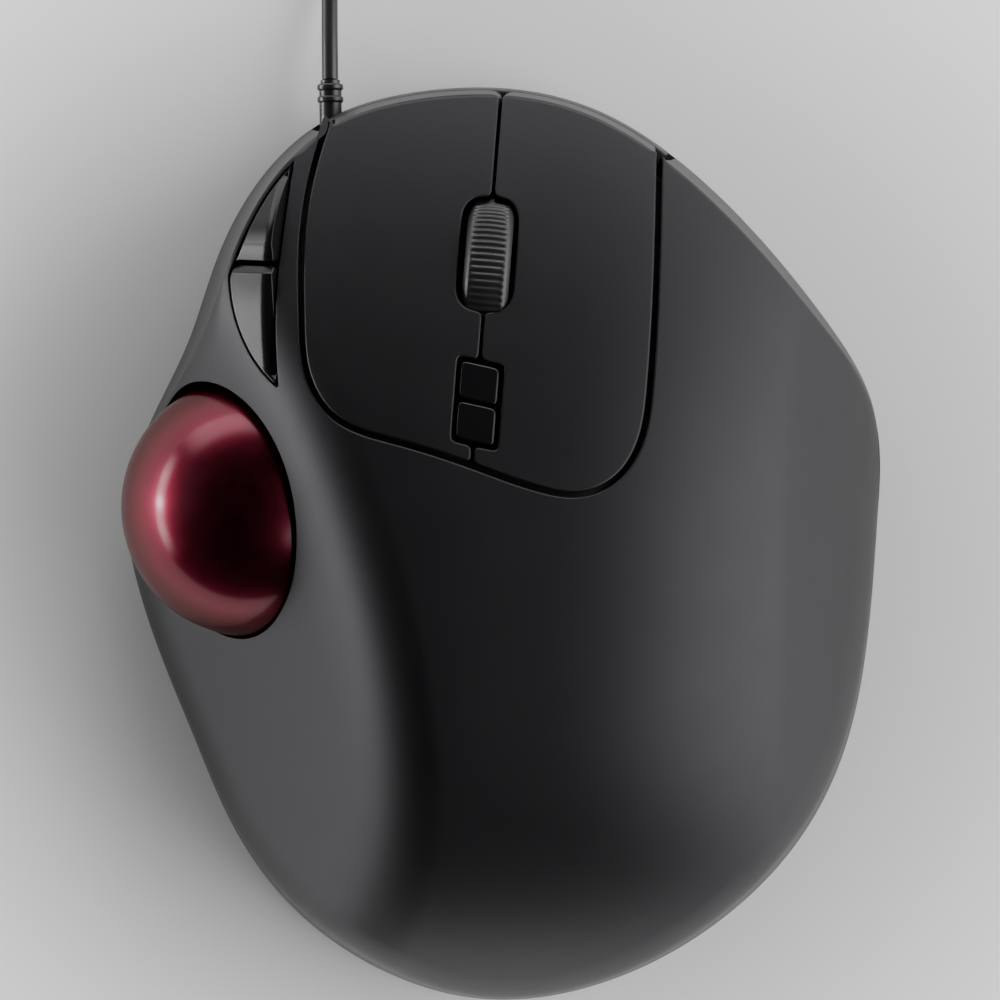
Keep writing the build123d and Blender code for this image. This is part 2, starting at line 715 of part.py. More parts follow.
def cable():
    path = rounded_path(cable_route(), CABLE_D)
    tube = sweep(Plane(origin=path @ 0, z_dir=path % 0) * Circle(CABLE_D / 2), path=path)
    section = pi * CABLE_D ** 2 / 4
    print("cable tube:", round(path.length, 1), "mm, fill", round(tube.volume / section / path.length, 4))
    return tube


def coil_section():
    reach = COIL_PITCH * (COIL_COLUMNS - 1) / 2 + CABLE_D / 2
    top = COIL_LOW + COIL_PITCH * (COIL_ROWS - 1) + CABLE_D / 2
    return reach, top


def cable_coil():
    reach, top = coil_section()
    low = COIL_LOW - CABLE_D / 2
    ring = Cylinder(COIL_R + reach, top - low) - Cylinder(COIL_R - reach, top - low)
    ring = fillet(ring.edges().filter_by(GeomType.CIRCLE), 1.0)
    return Pos(*COIL, (top + low) / 2) * ring


def cable_tie():
    """A soft band round the coil's bundle, on its finger side."""
    reach, top = coil_section()
    skin = 0.9
    low = COIL_LOW - CABLE_D / 2
    band = box(-reach - skin, reach + skin, -2.5, 2.5, 0.0, top + skin)
    band = fillet(band.edges().filter_by(Axis.Y), 1.2)
    hole = box(-reach, reach, -4, 4, low, top)
    hole = fillet(hole.edges().filter_by(Axis.Y), 1.0)
    return Pos(COIL[0] + COIL_R, COIL[1], 0) * (band - hole)


def usb_plug_body():
    x, y, z = PLUG
    length, width, height = PLUG_GRIP
    grip = Pos(x + 8 + length / 2, y, z) * Box(length, width, height)
    grip = fillet(grip.edges(), 1.6)
    sleeve = Pos(x + 4.5, y, z) * Rot(0, 90, 0) * Cone(1.9, 2.9, 9.0)
    body = grip + sleeve
    for i in range(3):
        ring = bar(x + 1.5 + 2.2 * i, x + 2.3 + 2.2 * i, y, z, 4.0)
        body = body - (ring - bar(x, x + 9, y, z, 1.75 + 0.18 * i))
    return only(body)


def usb_plug_shell():
    x, y, z = PLUG
    start = x + 8 + PLUG_GRIP[0]
    length, width, height = PLUG_METAL
    tube = Pos(start + length / 2, y, z) * Box(length, width, height)
    tube = fillet(tube.edges().filter_by(Axis.X), 0.4)
    inside = Box(length, width - 2 * PLUG_METAL_T, height - 2 * PLUG_METAL_T)
    tube = tube - Pos(start + length / 2 + PLUG_METAL_T, y, z) * inside
    for side in (-2.7, 2.7):
        tube = tube - box(x + 33.5, x + 36.0, y + side - 1.2, y + side + 1.2, z - 3, z + 3)
    return only(tube)


def usb_plug_insert():
    x, y, z = PLUG
    tongue = box(x + 28.3, x + 39.4, y - 5.7, y + 5.7, z - 1.95, z - 0.1)
    for i in range(4):
        side = -3.5 + 7.0 * i / 3
        tongue = tongue - box(x + 30.5, x + 39.5, y + side - 0.55, y + side + 0.55, z - 0.25, z)
    return only(tongue)


# ---------------------------------------------------------------- everything
def dpi_board_location(place):
    return Pos(DPI_X, dpi_stem_y(place), 36.0)


def dpi_board():
    return box(-9.6, 1.0, 12.8, 21.4, 35.05, 36.0)


def main():
    os.makedirs("parts", exist_ok=True)
    skin = key_skin()
    save(top_shell(), "top_shell")
    save(base_plate(), "base_plate")
    save(key_frame(), "key_frame")
    for side in ("left", "right"):
        save(main_key(side, skin), f"{side}_button")
        save(micro_switch(side), f"{side}_switch")
        save(micro_plunger(side), f"{side}_switch_plunger")
    for place in ("front", "rear"):
        save(dpi_key(place), f"dpi_{place}_button")
        save(dpi_board_location(place) * tact_switch(), f"dpi_{place}_switch")
        save(dpi_board_location(place) * tact_plunger(), f"dpi_{place}_switch_plunger")
    for place in ("forward", "back"):
        save(side_key(place), f"{place}_button")
        spot = side_frame(SIDE_STEM_Y[place]).location
        save(spot * tact_switch(), f"{place}_switch")
        save(spot * tact_plunger(), f"{place}_switch_plunger")
    save(dpi_board(), "dpi_board")
    save(side_switch_board(), "side_switch_board")
    save(Pos(*BALL) * Sphere(BALL_R), "trackball")
    save(ball_cup(), "ball_cup")
    save(ball_bearings(), "ball_bearings")
    save(sensor_lens(), "sensor_lens")
    save(sensor_chip(), "sensor_chip")
    save(sensor_board(), "sensor_board")
    save(main_board(), "main_board")
    save(controller_chip(), "controller_chip")
    save(cable_connector(), "cable_connector")
    save(wheel_encoder(), "wheel_encoder")
    save(wheel_carriage(), "wheel_carriage")
    save(middle_switch(), "middle_switch")
    save(middle_plunger(), "middle_switch_plunger")
    save(carriage_spring(), "carriage_spring")
    save(wheel_hub(), "scroll_wheel_hub")
    save(wheel_tyre(), "scroll_wheel_tyre")
    save(rubber_feet(), "rubber_feet")
    save(rating_label(), "rating_label")
    save(screw_group(CASE_SCREWS, FLOOR_Z + 0.5, 2.3, 1.7, 1.2, 10.5), "case_screws")
    save(screw_group(FRAME_SCREWS, 31.8, 1.9, 1.2, 1.0, 8.5), "frame_screws")
    save(down_screws(BOARD_SCREWS, BOARD_Z + BOARD_T + 1.3, 1.9, 1.3, 1.0, 8.0), "board_screws")
    save(strain_relief(), "strain_relief")
    save(cable(), "cable")
    save(cable_coil(), "cable_coil")
    save(cable_tie(), "cable_tie")
    save(usb_plug_body(), "usb_plug_body")
    save(usb_plug_shell(), "usb_plug_shell")
    save(usb_plug_insert(), "usb_plug_insert")


main()
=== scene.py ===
import json
from math import cos, pi, radians, sin

import bpy
import numpy as np
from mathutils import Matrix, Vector, geometry, kdtree


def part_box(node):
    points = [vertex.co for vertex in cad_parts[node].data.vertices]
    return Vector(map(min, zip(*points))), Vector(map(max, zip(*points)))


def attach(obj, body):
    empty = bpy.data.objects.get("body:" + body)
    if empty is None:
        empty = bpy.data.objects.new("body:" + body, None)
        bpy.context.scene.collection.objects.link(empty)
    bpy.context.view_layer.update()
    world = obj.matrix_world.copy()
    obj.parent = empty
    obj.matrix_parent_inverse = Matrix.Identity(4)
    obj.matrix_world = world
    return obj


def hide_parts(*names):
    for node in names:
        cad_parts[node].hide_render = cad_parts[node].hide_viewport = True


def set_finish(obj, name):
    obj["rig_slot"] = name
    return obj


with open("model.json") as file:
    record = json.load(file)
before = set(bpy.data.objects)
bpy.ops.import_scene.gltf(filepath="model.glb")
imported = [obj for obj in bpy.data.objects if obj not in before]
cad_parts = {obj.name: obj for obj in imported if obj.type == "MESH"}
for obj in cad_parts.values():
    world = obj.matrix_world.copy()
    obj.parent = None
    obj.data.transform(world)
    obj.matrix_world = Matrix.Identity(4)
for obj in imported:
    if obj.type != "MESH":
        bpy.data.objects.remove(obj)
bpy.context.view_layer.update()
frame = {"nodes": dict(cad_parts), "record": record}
NODES = frame["nodes"]
MM = 0.001

# Shapes below are in millimetres in the frame's own axes, and become metres in add_mesh.


def middle(node):
    """The centre and size of a CAD node's box, in millimetres."""
    low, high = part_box(node)
    return np.array((low + high) / 2) / MM, np.array(high - low) / MM


# ---------------------------------------------------------------- sizes shared with the design
DRAFT = 0.128                 # the side walls lean in
DRAFT_FROM = 3.5              # height at which the footprint is given
PART_Z = 6.0                  # parting line of the case
SHELL_WALL = 2.2
KEY_WALL = 2.0
KEY_GAP = 0.75
SPLIT_GAP = 0.4
SKIRT_Z = 15.0
WINDOW_Z = 14.0
CROWN_TURN = radians(4.4)
MID_X = -4.4
SLOT = (-4.5, 37.1, 7.3, 15.1)
SLOT_BLUNT = 2.8                       # 2 would be a half circle
DPI_SLANT = 0.14
SIDE_ARC = (-19.8, 34.55, 18.3)
SIDE_EDGE = ((-33.15, 48.0), (-28.0, 17.0))
SIDE_SPLIT_Y = 33.7
SIDE_LEVEL = 38.0
SIDE_PRESS = np.array([0.43, 0.0, -0.90])
SIDE_LEAN = SIDE_PRESS[0] / -SIDE_PRESS[2]
LOOP_STEP = 0.3                        # spacing of an outline's points
GAP_EASE = 0.28                        # rounding of the edges along a gap
WALL_EASE = 0.45                       # rounding of a front edge
BACK_EASE = 3.0                        # rounding of the shell's edge at the sides and rear
INNER_LEDGE = 0.02                     # narrowest inner ledge of an outer rim
FIRST_ROOM, ROOM_SHARE, ROOM_LESS = 0.08, 0.6, 0.1
POCKET_GAP = 0.25
POCKET_MARGIN = 0.5                    # shell left between the thumb keys' pocket and its edge
THUMB_KEY_MARGIN = POCKET_MARGIN + 0.25
OPENING_GAP = 0.38
OPENING_WAY = np.array([-0.62, 0.02, 0.78])    # the opening's outer bevel leans this way
OPENING_SHIFT, OPENING_LESS = 3.4, 0.2
THUMB_KEY_GAP = 0.15                   # half the gap between the thumb keys
FACET_SLOPE = 0.80
LEVEL_SLOPE = 0.02

FOOTPRINT = [
    (-2.0, 61.3), (-10.5, 60.9), (-18.1, 59.4), (-27.9, 55.2), (-36.3, 46.3), (-41.2, 35.2),
    (-44.1, 24.1), (-48.4, 12.8), (-50.7, 1.5), (-48.6, -8.6), (-44.3, -19.0), (-39.1, -29.4),
    (-33.6, -39.8), (-25.3, -50.0), (-14.5, -57.2), (1.5, -61.3), (19.7, -57.3), (33.7, -48.1),
    (43.3, -36.6), (48.1, -25.4), (50.4, -9.1), (50.5, 7.1), (48.4, 23.2), (41.6, 33.4),
    (32.1, 43.5), (20.1, 53.4), (9.3, 59.1),
]

KEY_LINE = [
    (-26.3, 53.7), (-27.8, 45.6), (-28.2, 36.5), (-27.3, 26.6), (-25.7, 19.2), (-22.2, 14.8),
    (-14.0, 12.2), (-3.9, 9.8), (4.6, 7.6), (9.6, 7.4), (14.2, 10.0), (16.7, 14.8),
    (17.4, 21.5), (17.3, 35.9), (16.7, 52.8),
]

BALL, BALL_SIZE = middle("trackball")
BALL_R = BALL_SIZE[0] / 2
WHEEL, WHEEL_SIZE = middle("scroll_wheel_tyre")
WHEEL_R = WHEEL_SIZE[2] / 2


# ---------------------------------------------------------------- the crown surface
def soft_step(t, k):
    return k * np.logaddexp(0, t / k)


def smooth_min(a, b, k):
    h = np.clip(0.5 + 0.5 * (b - a) / k, 0, 1)
    return b * (1 - h) + a * h - k * h * (1 - h)


def crown(x, y):
    """Height of the case's upper surface: palm arch, thumb flank and finger ledge."""
    u = x * cos(CROWN_TURN) + y * sin(CROWN_TURN)
    v = -x * sin(CROWN_TURN) + y * cos(CROWN_TURN)
    back = soft_step(-v - 3.0, 3.0)
    front = soft_step(v + 3.0, 6.0)
    q = 1 - np.abs((u - 2.2) / 62.0) ** 2.6 - (back / 60.0) ** 2.4
    q = 0.5 * (q + np.sqrt(q * q + 0.01))
    arch = 1.5 + 46.4 * np.sqrt(q) - 0.15 * (u - 2.2) - 0.0032 * soft_step(u - 8.2, 4) ** 2
    arch = arch - 0.10 * front - 0.0040 * front ** 2
    beyond = -0.97 * (u + 22.6) - 0.243 * v
    flank = 44.7 - 1.46 * beyond + 0.004 * soft_step(beyond, 4) ** 2
    ledge = soft_step(u - 36.2 - 0.0016 * np.maximum(0.0, v + 12) ** 2, 0.9)
    return smooth_min(arch, flank, 10.0) - 0.55 * ledge - 0.018 * ledge ** 2


def surface_normals(height, xy, step=0.06):
    x, y = xy[:, 0], xy[:, 1]
    gx = (height(x + step, y) - height(x - step, y)) / (2 * step)
    gy = (height(x, y + step) - height(x, y - step)) / (2 * step)
    return unit(np.stack([-gx, -gy, np.ones_like(gx)], 1))


def unit(v):
    return v / np.maximum(np.linalg.norm(v, axis=-1, keepdims=True), 1e-12)


def on_surface(height, xy):
    return np.column_stack([xy, height(xy[:, 0], xy[:, 1])])


# ---------------------------------------------------------------- plan outlines
def spline(points, per_span, closed):
    """A smooth curve through the points, chord-length spaced."""
    p = np.array(points, float)
    n = len(p)
    spans = n if closed else n - 1
    step = np.linalg.norm(np.roll(p, -1, 0) - p, axis=1)[:spans]
    rows = np.zeros((n, n))
    right = np.zeros((n, 2))
    for i in range(n):
        if not closed and i in (0, n - 1):
            rows[i, i] = 1.0
            continue
        h0, h1 = step[i - 1], step[i % spans]
        before, after = (i - 1) % n, (i + 1) % n
        rows[i, before] += h0
        rows[i, i] += 2 * (h0 + h1)
        rows[i, after] += h1
        right[i] = 6 * ((p[after] - p[i]) / h1 - (p[i] - p[before]) / h0)
    bend = np.linalg.solve(rows, right)
    out = []
    for i in range(spans):
        j = (i + 1) % n
        h = step[i]
        for t in np.arange(per_span) / per_span:
            a, b = 1 - t, t
            out.append(a * p[i] + b * p[j]
                       + ((a ** 3 - a) * bend[i] + (b ** 3 - b) * bend[j]) * h * h / 6)
    if not closed:
        out.append(p[-1])
    return np.array(out)


def left_normals(points, closed=True):
    ahead = np.roll(points, -1, 0) - points
    behind = points - np.roll(points, 1, 0)
    if not closed:
        ahead[-1] = behind[-1]
        behind[0] = ahead[0]
    way = unit(unit(ahead) + unit(behind))
    return np.stack([-way[:, 1], way[:, 0]], 1)


def resample(points, step):
    """Evenly spaced points along an open line, its last point left out."""
    size = np.linalg.norm(np.diff(points, axis=0), axis=1)
    run = np.concatenate([[0], np.cumsum(size)])
    count = max(2, int(round(run[-1] / step)))
    at = np.arange(count) * run[-1] / count
    return np.stack([np.interp(at, run, points[:, 0]), np.interp(at, run, points[:, 1])], 1)


def soften(values, rounds):
    for _ in range(rounds):
        values = 0.5 * values + 0.25 * (np.roll(values, 1, 0) + np.roll(values, -1, 0))
    return values


def close_loop(parts, rounds=6):
    """Joins (line, share of outer wall) parts into one loop with slightly rounded corners."""
    lines, shares = [], []
    for line, share in parts:
        points = resample(np.array(line, float), LOOP_STEP)
        lines.append(points)
        shares.append(np.full(len(points), float(share)))
    return soften(np.concatenate(lines), rounds), np.concatenate(shares)


def deck_edge():
    """Where the crown meets the leaning side wall, all the way round."""
    ring = spline(FOOTPRINT, 24, True)
    inward = left_normals(ring)
    low = np.full(len(ring), 5.0)
    high = np.full(len(ring), 58.0)
    for _ in range(40):
        z = (low + high) / 2
        spot = ring + inward * (DRAFT * (z - DRAFT_FROM))[:, None]
        above = crown(spot[:, 0], spot[:, 1]) > z
        low = np.where(above, z, low)
        high = np.where(above, high, z)
    return ring + inward * (DRAFT * ((low + high) / 2 - DRAFT_FROM))[:, None]


EDGE = deck_edge()


def edge_between(x_start, x_end):
    """The deck edge from the front at x_start, anticlockwise, to the front at x_end."""
    front = EDGE[:, 1] > 35
    start, end = (np.argmin(np.where(front, np.abs(EDGE[:, 0] - x), 1e9))
                  for x in (x_start, x_end))
    count = (end - start) % len(EDGE)
    line = EDGE[(start + 1 + np.arange(count - 1)) % len(EDGE)]
    first = [x_start, np.interp(x_start, *sorted_front())]
    last = [x_end, np.interp(x_end, *sorted_front())]
    return np.vstack([first, line, last])


def sorted_front():
    keep = EDGE[(EDGE[:, 1] > 35) & (np.abs(EDGE[:, 0]) < 32)]
    order = np.argsort(keep[:, 0])
    return keep[order, 0], keep[order, 1]


def key_line(shift):
    """The gap round the main keys, moved outwards by shift and run on to the deck edge."""
    line = spline(KEY_LINE, 16, False)
    line = line - left_normals(line, False) * shift
    front = sorted_front()
    start = [line[0][0], np.interp(line[0][0], *front)]
    end = [line[-1][0], np.interp(line[-1][0], *front)]
    return np.vstack([start, line, end])


def arc(cx, cy, r, start, end, count=24):
    at = np.radians(np.linspace(start, end, count))
    return np.stack([cx + r * np.cos(at), cy + r * np.sin(at)], 1)


def slot_side(side):
    """Half of the wheel's slot, from its rear end to its front end; the ends are blunt ovals."""
    x, y, width, length = SLOT
    r, run = width / 2, (length - width) / 2
    edge = MID_X + side * SPLIT_GAP / 2
    turn = np.linspace(0, pi / 2, 30)
    across = x + side * r * np.sin(turn) ** (2 / SLOT_BLUNT)
    reach = r * np.cos(turn) ** (2 / SLOT_BLUNT)
    rear = np.stack([across, y - run - reach], 1)
    front = np.stack([across, y + run + reach], 1)[::-1]
    line = np.vstack([rear, front])
    line[0, 0] = line[-1, 0] = edge
    return line


def dpi_outline(centre, width, length):
    """A parallelogram with sides along Y and sloping ends, anticlockwise from the rear left."""
    x, y = centre
    w, h, s = width / 2, length / 2, DPI_SLANT * width / 2
    return np.array([(x - w, y - h + s), (x + w, y - h - s),
                     (x + w, y + h - s), (x - w, y + h + s)])


DPI = {name: middle(f"dpi_{name}_button") for name in ("front", "rear")}
DPI_WIDTH = DPI["front"][1][0]
DPI_LENGTH = DPI["front"][1][1] - DPI_SLANT * DPI_WIDTH + 0.16
DPI_MID = (DPI["front"][0][:2] + DPI["rear"][0][:2]) / 2
DPI_PITCH = DPI["front"][0][1] - DPI["rear"][0][1]


def pocket_side(side):
    """Half of the DPI keys' pocket, from its rear to its front."""
    box = dpi_outline(DPI_MID, DPI_WIDTH + 1.1, DPI_PITCH + DPI_LENGTH + 1.1)
    corners = (box[0], box[3]) if side < 0 else (box[1], box[2])
    edge = MID_X + side * SPLIT_GAP / 2
    lean = -DPI_SLANT * (edge - DPI_MID[0])
    half = (DPI_PITCH + DPI_LENGTH + 1.1) / 2
    ends = [(edge, DPI_MID[1] - half + lean), (edge, DPI_MID[1] + half + lean)]
    return np.array([ends[0], corners[0], corners[1], ends[1]])


def crescent(gap, low_y=None, high_y=None):
    """The thumb keys' outline, anticlockwise, at its own level."""
    cx, cy, r = SIDE_ARC
    (x0, y0), (x1, y1) = SIDE_EDGE
    r = r + gap
    ring = arc(cx, cy, r, 100, 260, 200)
    slope = (x0 - x1) / (y0 - y1)
    limit = x1 + gap + (ring[:, 1] - y1) * slope
    ring = ring[ring[:, 0] < limit]
    if high_y is not None:
        ring = ring[ring[:, 1] < high_y]
    if low_y is not None:
        ring = ring[ring[:, 1] > low_y]
    top, bottom = ring[0], ring[-1]
    edge_x = [x1 + gap + (p[1] - y1) * slope for p in (bottom, top)]
    return np.vstack([ring, (edge_x[0], bottom[1]), (edge_x[1], top[1])])


def sheared(loop, height):
    """Moves an outline at the thumb keys' level along their press to where it meets height."""
    spot = loop.copy()
    for _ in range(12):
        spot[:, 0] = loop[:, 0] + (SIDE_LEVEL - height(spot[:, 0], spot[:, 1])) * SIDE_LEAN
    return spot


# ---------------------------------------------------------------- panels
CURVE_STEPS = 6


def bezier(a, b, c, t):
    return a * (1 - t) ** 2 + 2 * b * t * (1 - t) + c * t * t


def corner_room(loop):
    """How far each point of a loop can move inwards before its corner folds over itself."""
    before, after = loop - np.roll(loop, 1, 0), np.roll(loop, -1, 0) - loop
    cross = before[:, 0] * after[:, 1] - before[:, 1] * after[:, 0]
    turn = np.arctan2(cross, (before * after).sum(1))
    length = (np.hypot(*before.T) + np.hypot(*after.T)) / 2
    room = 0.7 * length / np.maximum(turn, 1e-3)
    for _ in range(3):
        room = np.minimum(room, np.minimum(np.roll(room, 1), np.roll(room, -1)))
    return room


def rim_rings(loop, height, ease, down, depth, inner=None):
    """Rings over an edge: from the surface, round the corner, then down the wall.

    down is each point's way along the wall, per unit of drop; depth is how far the wall goes.
    """
    outward = -left_normals(loop)
    ease = soften(np.minimum(ease, corner_room(loop)), 2)[:, None]
    start = on_surface(height, loop - outward * ease)
    corner = on_surface(height, loop)
    end = corner + down * ease
    rings = [bezier(start, corner, end, t) for t in np.linspace(0, 1, CURVE_STEPS)]
    depth = np.broadcast_to(depth, len(loop))[:, None]
    for share in (0.5, 1.0):
        rings.append(end + down * (depth - ease) * share)
    if inner is not None:
        inner = np.broadcast_to(inner, len(loop))[:, None]
        rings.append(rings[-1] - np.column_stack([outward, np.zeros(len(loop))]) * inner)
    return rings


def ring_normals(rings):
    """Normals of a strip of rings: across the strip times along the loop."""
    normals = []
    for i, ring in enumerate(rings):
        across = rings[min(i + 1, len(rings) - 1)] - rings[max(i - 1, 0)]
        along = np.roll(ring, -1, 0) - np.roll(ring, 1, 0)
        normals.append(unit(np.cross(across, along)))
    return normals


def inside(points, loops):
    """Which points lie inside the first loop and outside the others."""
    x, y = points[:, 0][:, None], points[:, 1][:, None]
    crossed = np.zeros(len(points), int)
    for loop in loops:
        x0, y0 = loop[:, 0][None], loop[:, 1][None]
        x1, y1 = np.roll(loop[:, 0], -1)[None], np.roll(loop[:, 1], -1)[None]
        spans = (y0 > y) != (y1 > y)
        rise = np.where(y1 == y0, 1e-12, y1 - y0)
        crossed += (spans & (x < (x1 - x0) * (y - y0) / rise + x0)).sum(1)
    return crossed % 2 == 1


def fill_points(loops, spacing):
    outer = loops[0]
    low, high = outer.min(0), outer.max(0)
    rows = []
    for k, y in enumerate(np.arange(low[1], high[1], spacing * 0.866)):
        xs = np.arange(low[0] + (k % 2) * spacing / 2, high[0], spacing)
        rows.append(np.column_stack([xs, np.full(len(xs), y)]))
    points = np.vstack(rows)
    points = points[inside(points, loops)]
    tree = kdtree.KDTree(sum(len(loop) for loop in loops))
    for i, p in enumerate(np.vstack(loops)):
        tree.insert((p[0], p[1], 0), i)
    tree.balance()
    far = [tree.find((p[0], p[1], 0))[2] > spacing * 0.55 for p in points]
    return points[np.array(far)]


def add_mesh(name, vertices, faces, normals=None):
    """Adds a smooth mesh from millimetres; normals holds one normal per face corner."""
    mesh = bpy.data.meshes.new(name)
    mesh.from_pydata((np.array(vertices) * MM).tolist(), [], faces)
    mesh.polygons.foreach_set("use_smooth", [True] * len(mesh.polygons))
    if normals is not None:
        mesh.normals_split_custom_set(normals)
        kept = mesh.attributes.new("kept_normal", "FLOAT_VECTOR", "CORNER")
        kept.data.foreach_set("vector", np.array(normals).ravel())
    mesh.update()
    obj = bpy.data.objects.new(name, mesh)
    bpy.context.scene.collection.objects.link(obj)
    return obj


def panel(name, height, rims, drop, spacing=1.0, shape=None):
    """A closed skin: its upper face is height, its edges are the rims' rings.

    rims is a list of ring lists, the outer one first and anticlockwise, holes clockwise.
    """
    loops = [rim[0][:, :2] for rim in rims]
    grid = fill_points(loops, spacing)
    plan = np.vstack(loops + [grid])
    edges = []
    start = 0
    for loop in loops:
        n = len(loop)
        edges += [(start + i, start + (i + 1) % n) for i in range(n)]
        start += n
    made = geometry.delaunay_2d_cdt([Vector(p) for p in plan], edges, [], 0, 1e-7)
    verts2, faces2, origin = np.array([tuple(v) for v in made[0]]), made[2], made[3]
    found = {}
    for i, sources in enumerate(origin):
        for s in sources:
            found[s] = i
    tris = np.array([f for f in faces2 if len(f) == 3])
    keep = inside(verts2[tris].mean(1), loops)
    tris = tris[keep]
    a, b, c = (verts2[tris[:, k]] for k in range(3))
    turn = (b[:, 0] - a[:, 0]) * (c[:, 1] - a[:, 1]) - (b[:, 1] - a[:, 1]) * (c[:, 0] - a[:, 0])
    tris[turn < 0] = tris[turn < 0][:, ::-1]

    top = on_surface(height, verts2)
    top_n = surface_normals(height, verts2)
    count = len(verts2)
    vertices = [top, top - np.array([0, 0, drop])]
    total = 2 * count
    faces = [tuple(t) for t in tris.tolist()]
    corner_normals = [top_n[tris].reshape(-1, 3)]
    under = (tris + count)[:, ::-1]
    faces += [tuple(t) for t in under.tolist()]
    corner_normals.append(-top_n[tris[:, ::-1]].reshape(-1, 3))

    start = 0
    for rim in rims:
        n = len(rim[0])
        first = np.array([found[start + i] for i in range(n)])
        start += n
        ids = [first]
        for ring in rim[1:]:
            vertices.append(ring)
            ids.append(total + np.arange(n))
            total += n
        ids.append(first + count)
        rings = rim + [top[first] - np.array([0, 0, drop])]
        split = CURVE_STEPS + 2
        blocks = [(0, split), (split - 1, len(rings))]
        for block_start, block_end in blocks:
            block_normals = ring_normals(rings[block_start:block_end])
            if block_start == 0:
                block_normals[0] = top_n[first]
            for k in range(block_start, block_end - 1):
                p, q = ids[k], ids[k + 1]
                m0, m1 = block_normals[k - block_start], block_normals[k + 1 - block_start]
                p2, q2 = np.roll(p, -1), np.roll(q, -1)
                faces += [tuple(f) for f in np.stack([p, q, q2, p2], 1).tolist()]
                quad = np.stack([m0, m1, np.roll(m1, -1, 0), np.roll(m0, -1, 0)], 1)
                corner_normals.append(quad.reshape(-1, 3))
    vertices = np.vstack(vertices)
    if shape is not None:
        vertices = shape(vertices)
    return add_mesh(name, vertices, faces, np.vstack(corner_normals).tolist())


# ---------------------------------------------------------------- case shell and main keys
def wall_way(loop, share):
    """The way down an edge: straight down in a gap, leaning out on the outer wall."""
    outward = -left_normals(loop)
    lean = outward * (DRAFT * share)[:, None]
    return np.column_stack([lean, -np.ones(len(loop))])


def nearest(points, others):
    """Each point's distance to the nearest of the others."""
    gaps = points[:, None, :] - others[None, :, :]
    return np.sqrt((gaps ** 2).sum(2).min(1))


def outer_rim(loop, share, thickness, low_z, back_ease, keep_off=None):
    """The outer rim of the shell or a key: outer walls and gaps in one loop."""
    near_wall = np.clip(soften(share, 60) * 2.2, 0, 1)
    share = soften(share, 6)
    level = crown(loop[:, 0], loop[:, 1])
    blunt = np.clip((30.0 - loop[:, 1]) / 22.0, 0, 1)
    blunt = np.maximum(blunt, np.clip((-26.0 - loop[:, 0]) / 8.0, 0, 1))
    blunt = soften(blunt * (share > 0.5), 30)
    wall_ease = WALL_EASE + (back_ease - WALL_EASE) * blunt * blunt * (3 - 2 * blunt)
    if keep_off is not None:
        room = np.maximum(FIRST_ROOM, nearest(loop, keep_off) * ROOM_SHARE - ROOM_LESS)
        wall_ease = soften(np.minimum(wall_ease, room), 8)
    ease = GAP_EASE + (wall_ease - GAP_EASE) * share
    gap_depth = thickness + (level - low_z - thickness) * near_wall ** 3
    depth = gap_depth * (1 - share) + (level - low_z) * share
    ledge = thickness * share + INNER_LEDGE
    return rim_rings(loop, crown, ease, wall_way(loop, share), depth, ledge)


def shell_loop():
    line = key_line(KEY_GAP / 2)
    wall = edge_between(line[0][0], line[-1][0])
    return close_loop([(wall, 1), (line[::-1], 0)])


def sphere(name, centre, radius, rows, columns):
    """A closed ball of quads with its poles on the Z axis."""
    vertices, faces = [], []
    for i in range(1, rows):
        tilt = pi * i / rows
        for k in range(columns):
            turn = 2 * pi * k / columns
            way = np.array([sin(tilt) * cos(turn), sin(tilt) * sin(turn), cos(tilt)])
            vertices.append(centre + radius * way)
    vertices += [centre + [0, 0, radius], centre - [0, 0, radius]]
    top, bottom = len(vertices) - 2, len(vertices) - 1
    for i in range(rows - 2):
        for k in range(columns):
            a, b = i * columns + k, i * columns + (k + 1) % columns
            faces.append((a, a + columns, b + columns, b))
    last = (rows - 2) * columns
    for k in range(columns):
        following = (k + 1) % columns
        faces.append((top, k, following))
        faces.append((bottom, last + following, last + k))
    return add_mesh(name, vertices, faces)


def cutter(centre, radius):
    """A ball to cut with, whose kept normals already face the way that the cut will."""
    piece = sphere("cutter", centre, radius, 96, 192)
    mesh = piece.data
    places = np.array([tuple(v.co) for v in mesh.vertices]) / MM
    inward = unit(centre - places)
    corner_vertex = np.zeros(len(mesh.loops), int)
    mesh.loops.foreach_get("vertex_index", corner_vertex)
    kept = mesh.attributes.new("kept_normal", "FLOAT_VECTOR", "CORNER")
    kept.data.foreach_set("vector", inward[corner_vertex].ravel())
    return piece


def cut_away(obj, cutters):
    for cutter_piece in cutters:
        modifier = obj.modifiers.new("cut", "BOOLEAN")
        modifier.operation = "DIFFERENCE"
        modifier.solver = "EXACT"
        modifier.object = cutter_piece
    result = obj.evaluated_get(bpy.context.evaluated_depsgraph_get())
    mesh = bpy.data.meshes.new_from_object(result)
    obj.modifiers.clear()
    obj.data = mesh
    for cutter_piece in cutters:
        bpy.data.objects.remove(cutter_piece)
    kept = np.zeros(len(mesh.loops) * 3)
    mesh.attributes["kept_normal"].data.foreach_get("vector", kept)
    mesh.polygons.foreach_set("use_smooth", [True] * len(mesh.polygons))
    mesh.normals_split_custom_set(unit(kept.reshape(-1, 3)).tolist())


def kept_in(plan, margin):
    """The outline with its points pushed in to stay that far inside the shell's outer edge."""
    loop, _ = shell_loop()
    at = np.argmin(((plan[:, None, :] - loop[None, :, :]) ** 2).sum(2), 1)
    inward = left_normals(loop)[at]
    depth = ((plan - loop[at]) * inward).sum(1)
    push = soften(np.maximum(0, margin - depth), 3)
    return plan + inward * push[:, None]


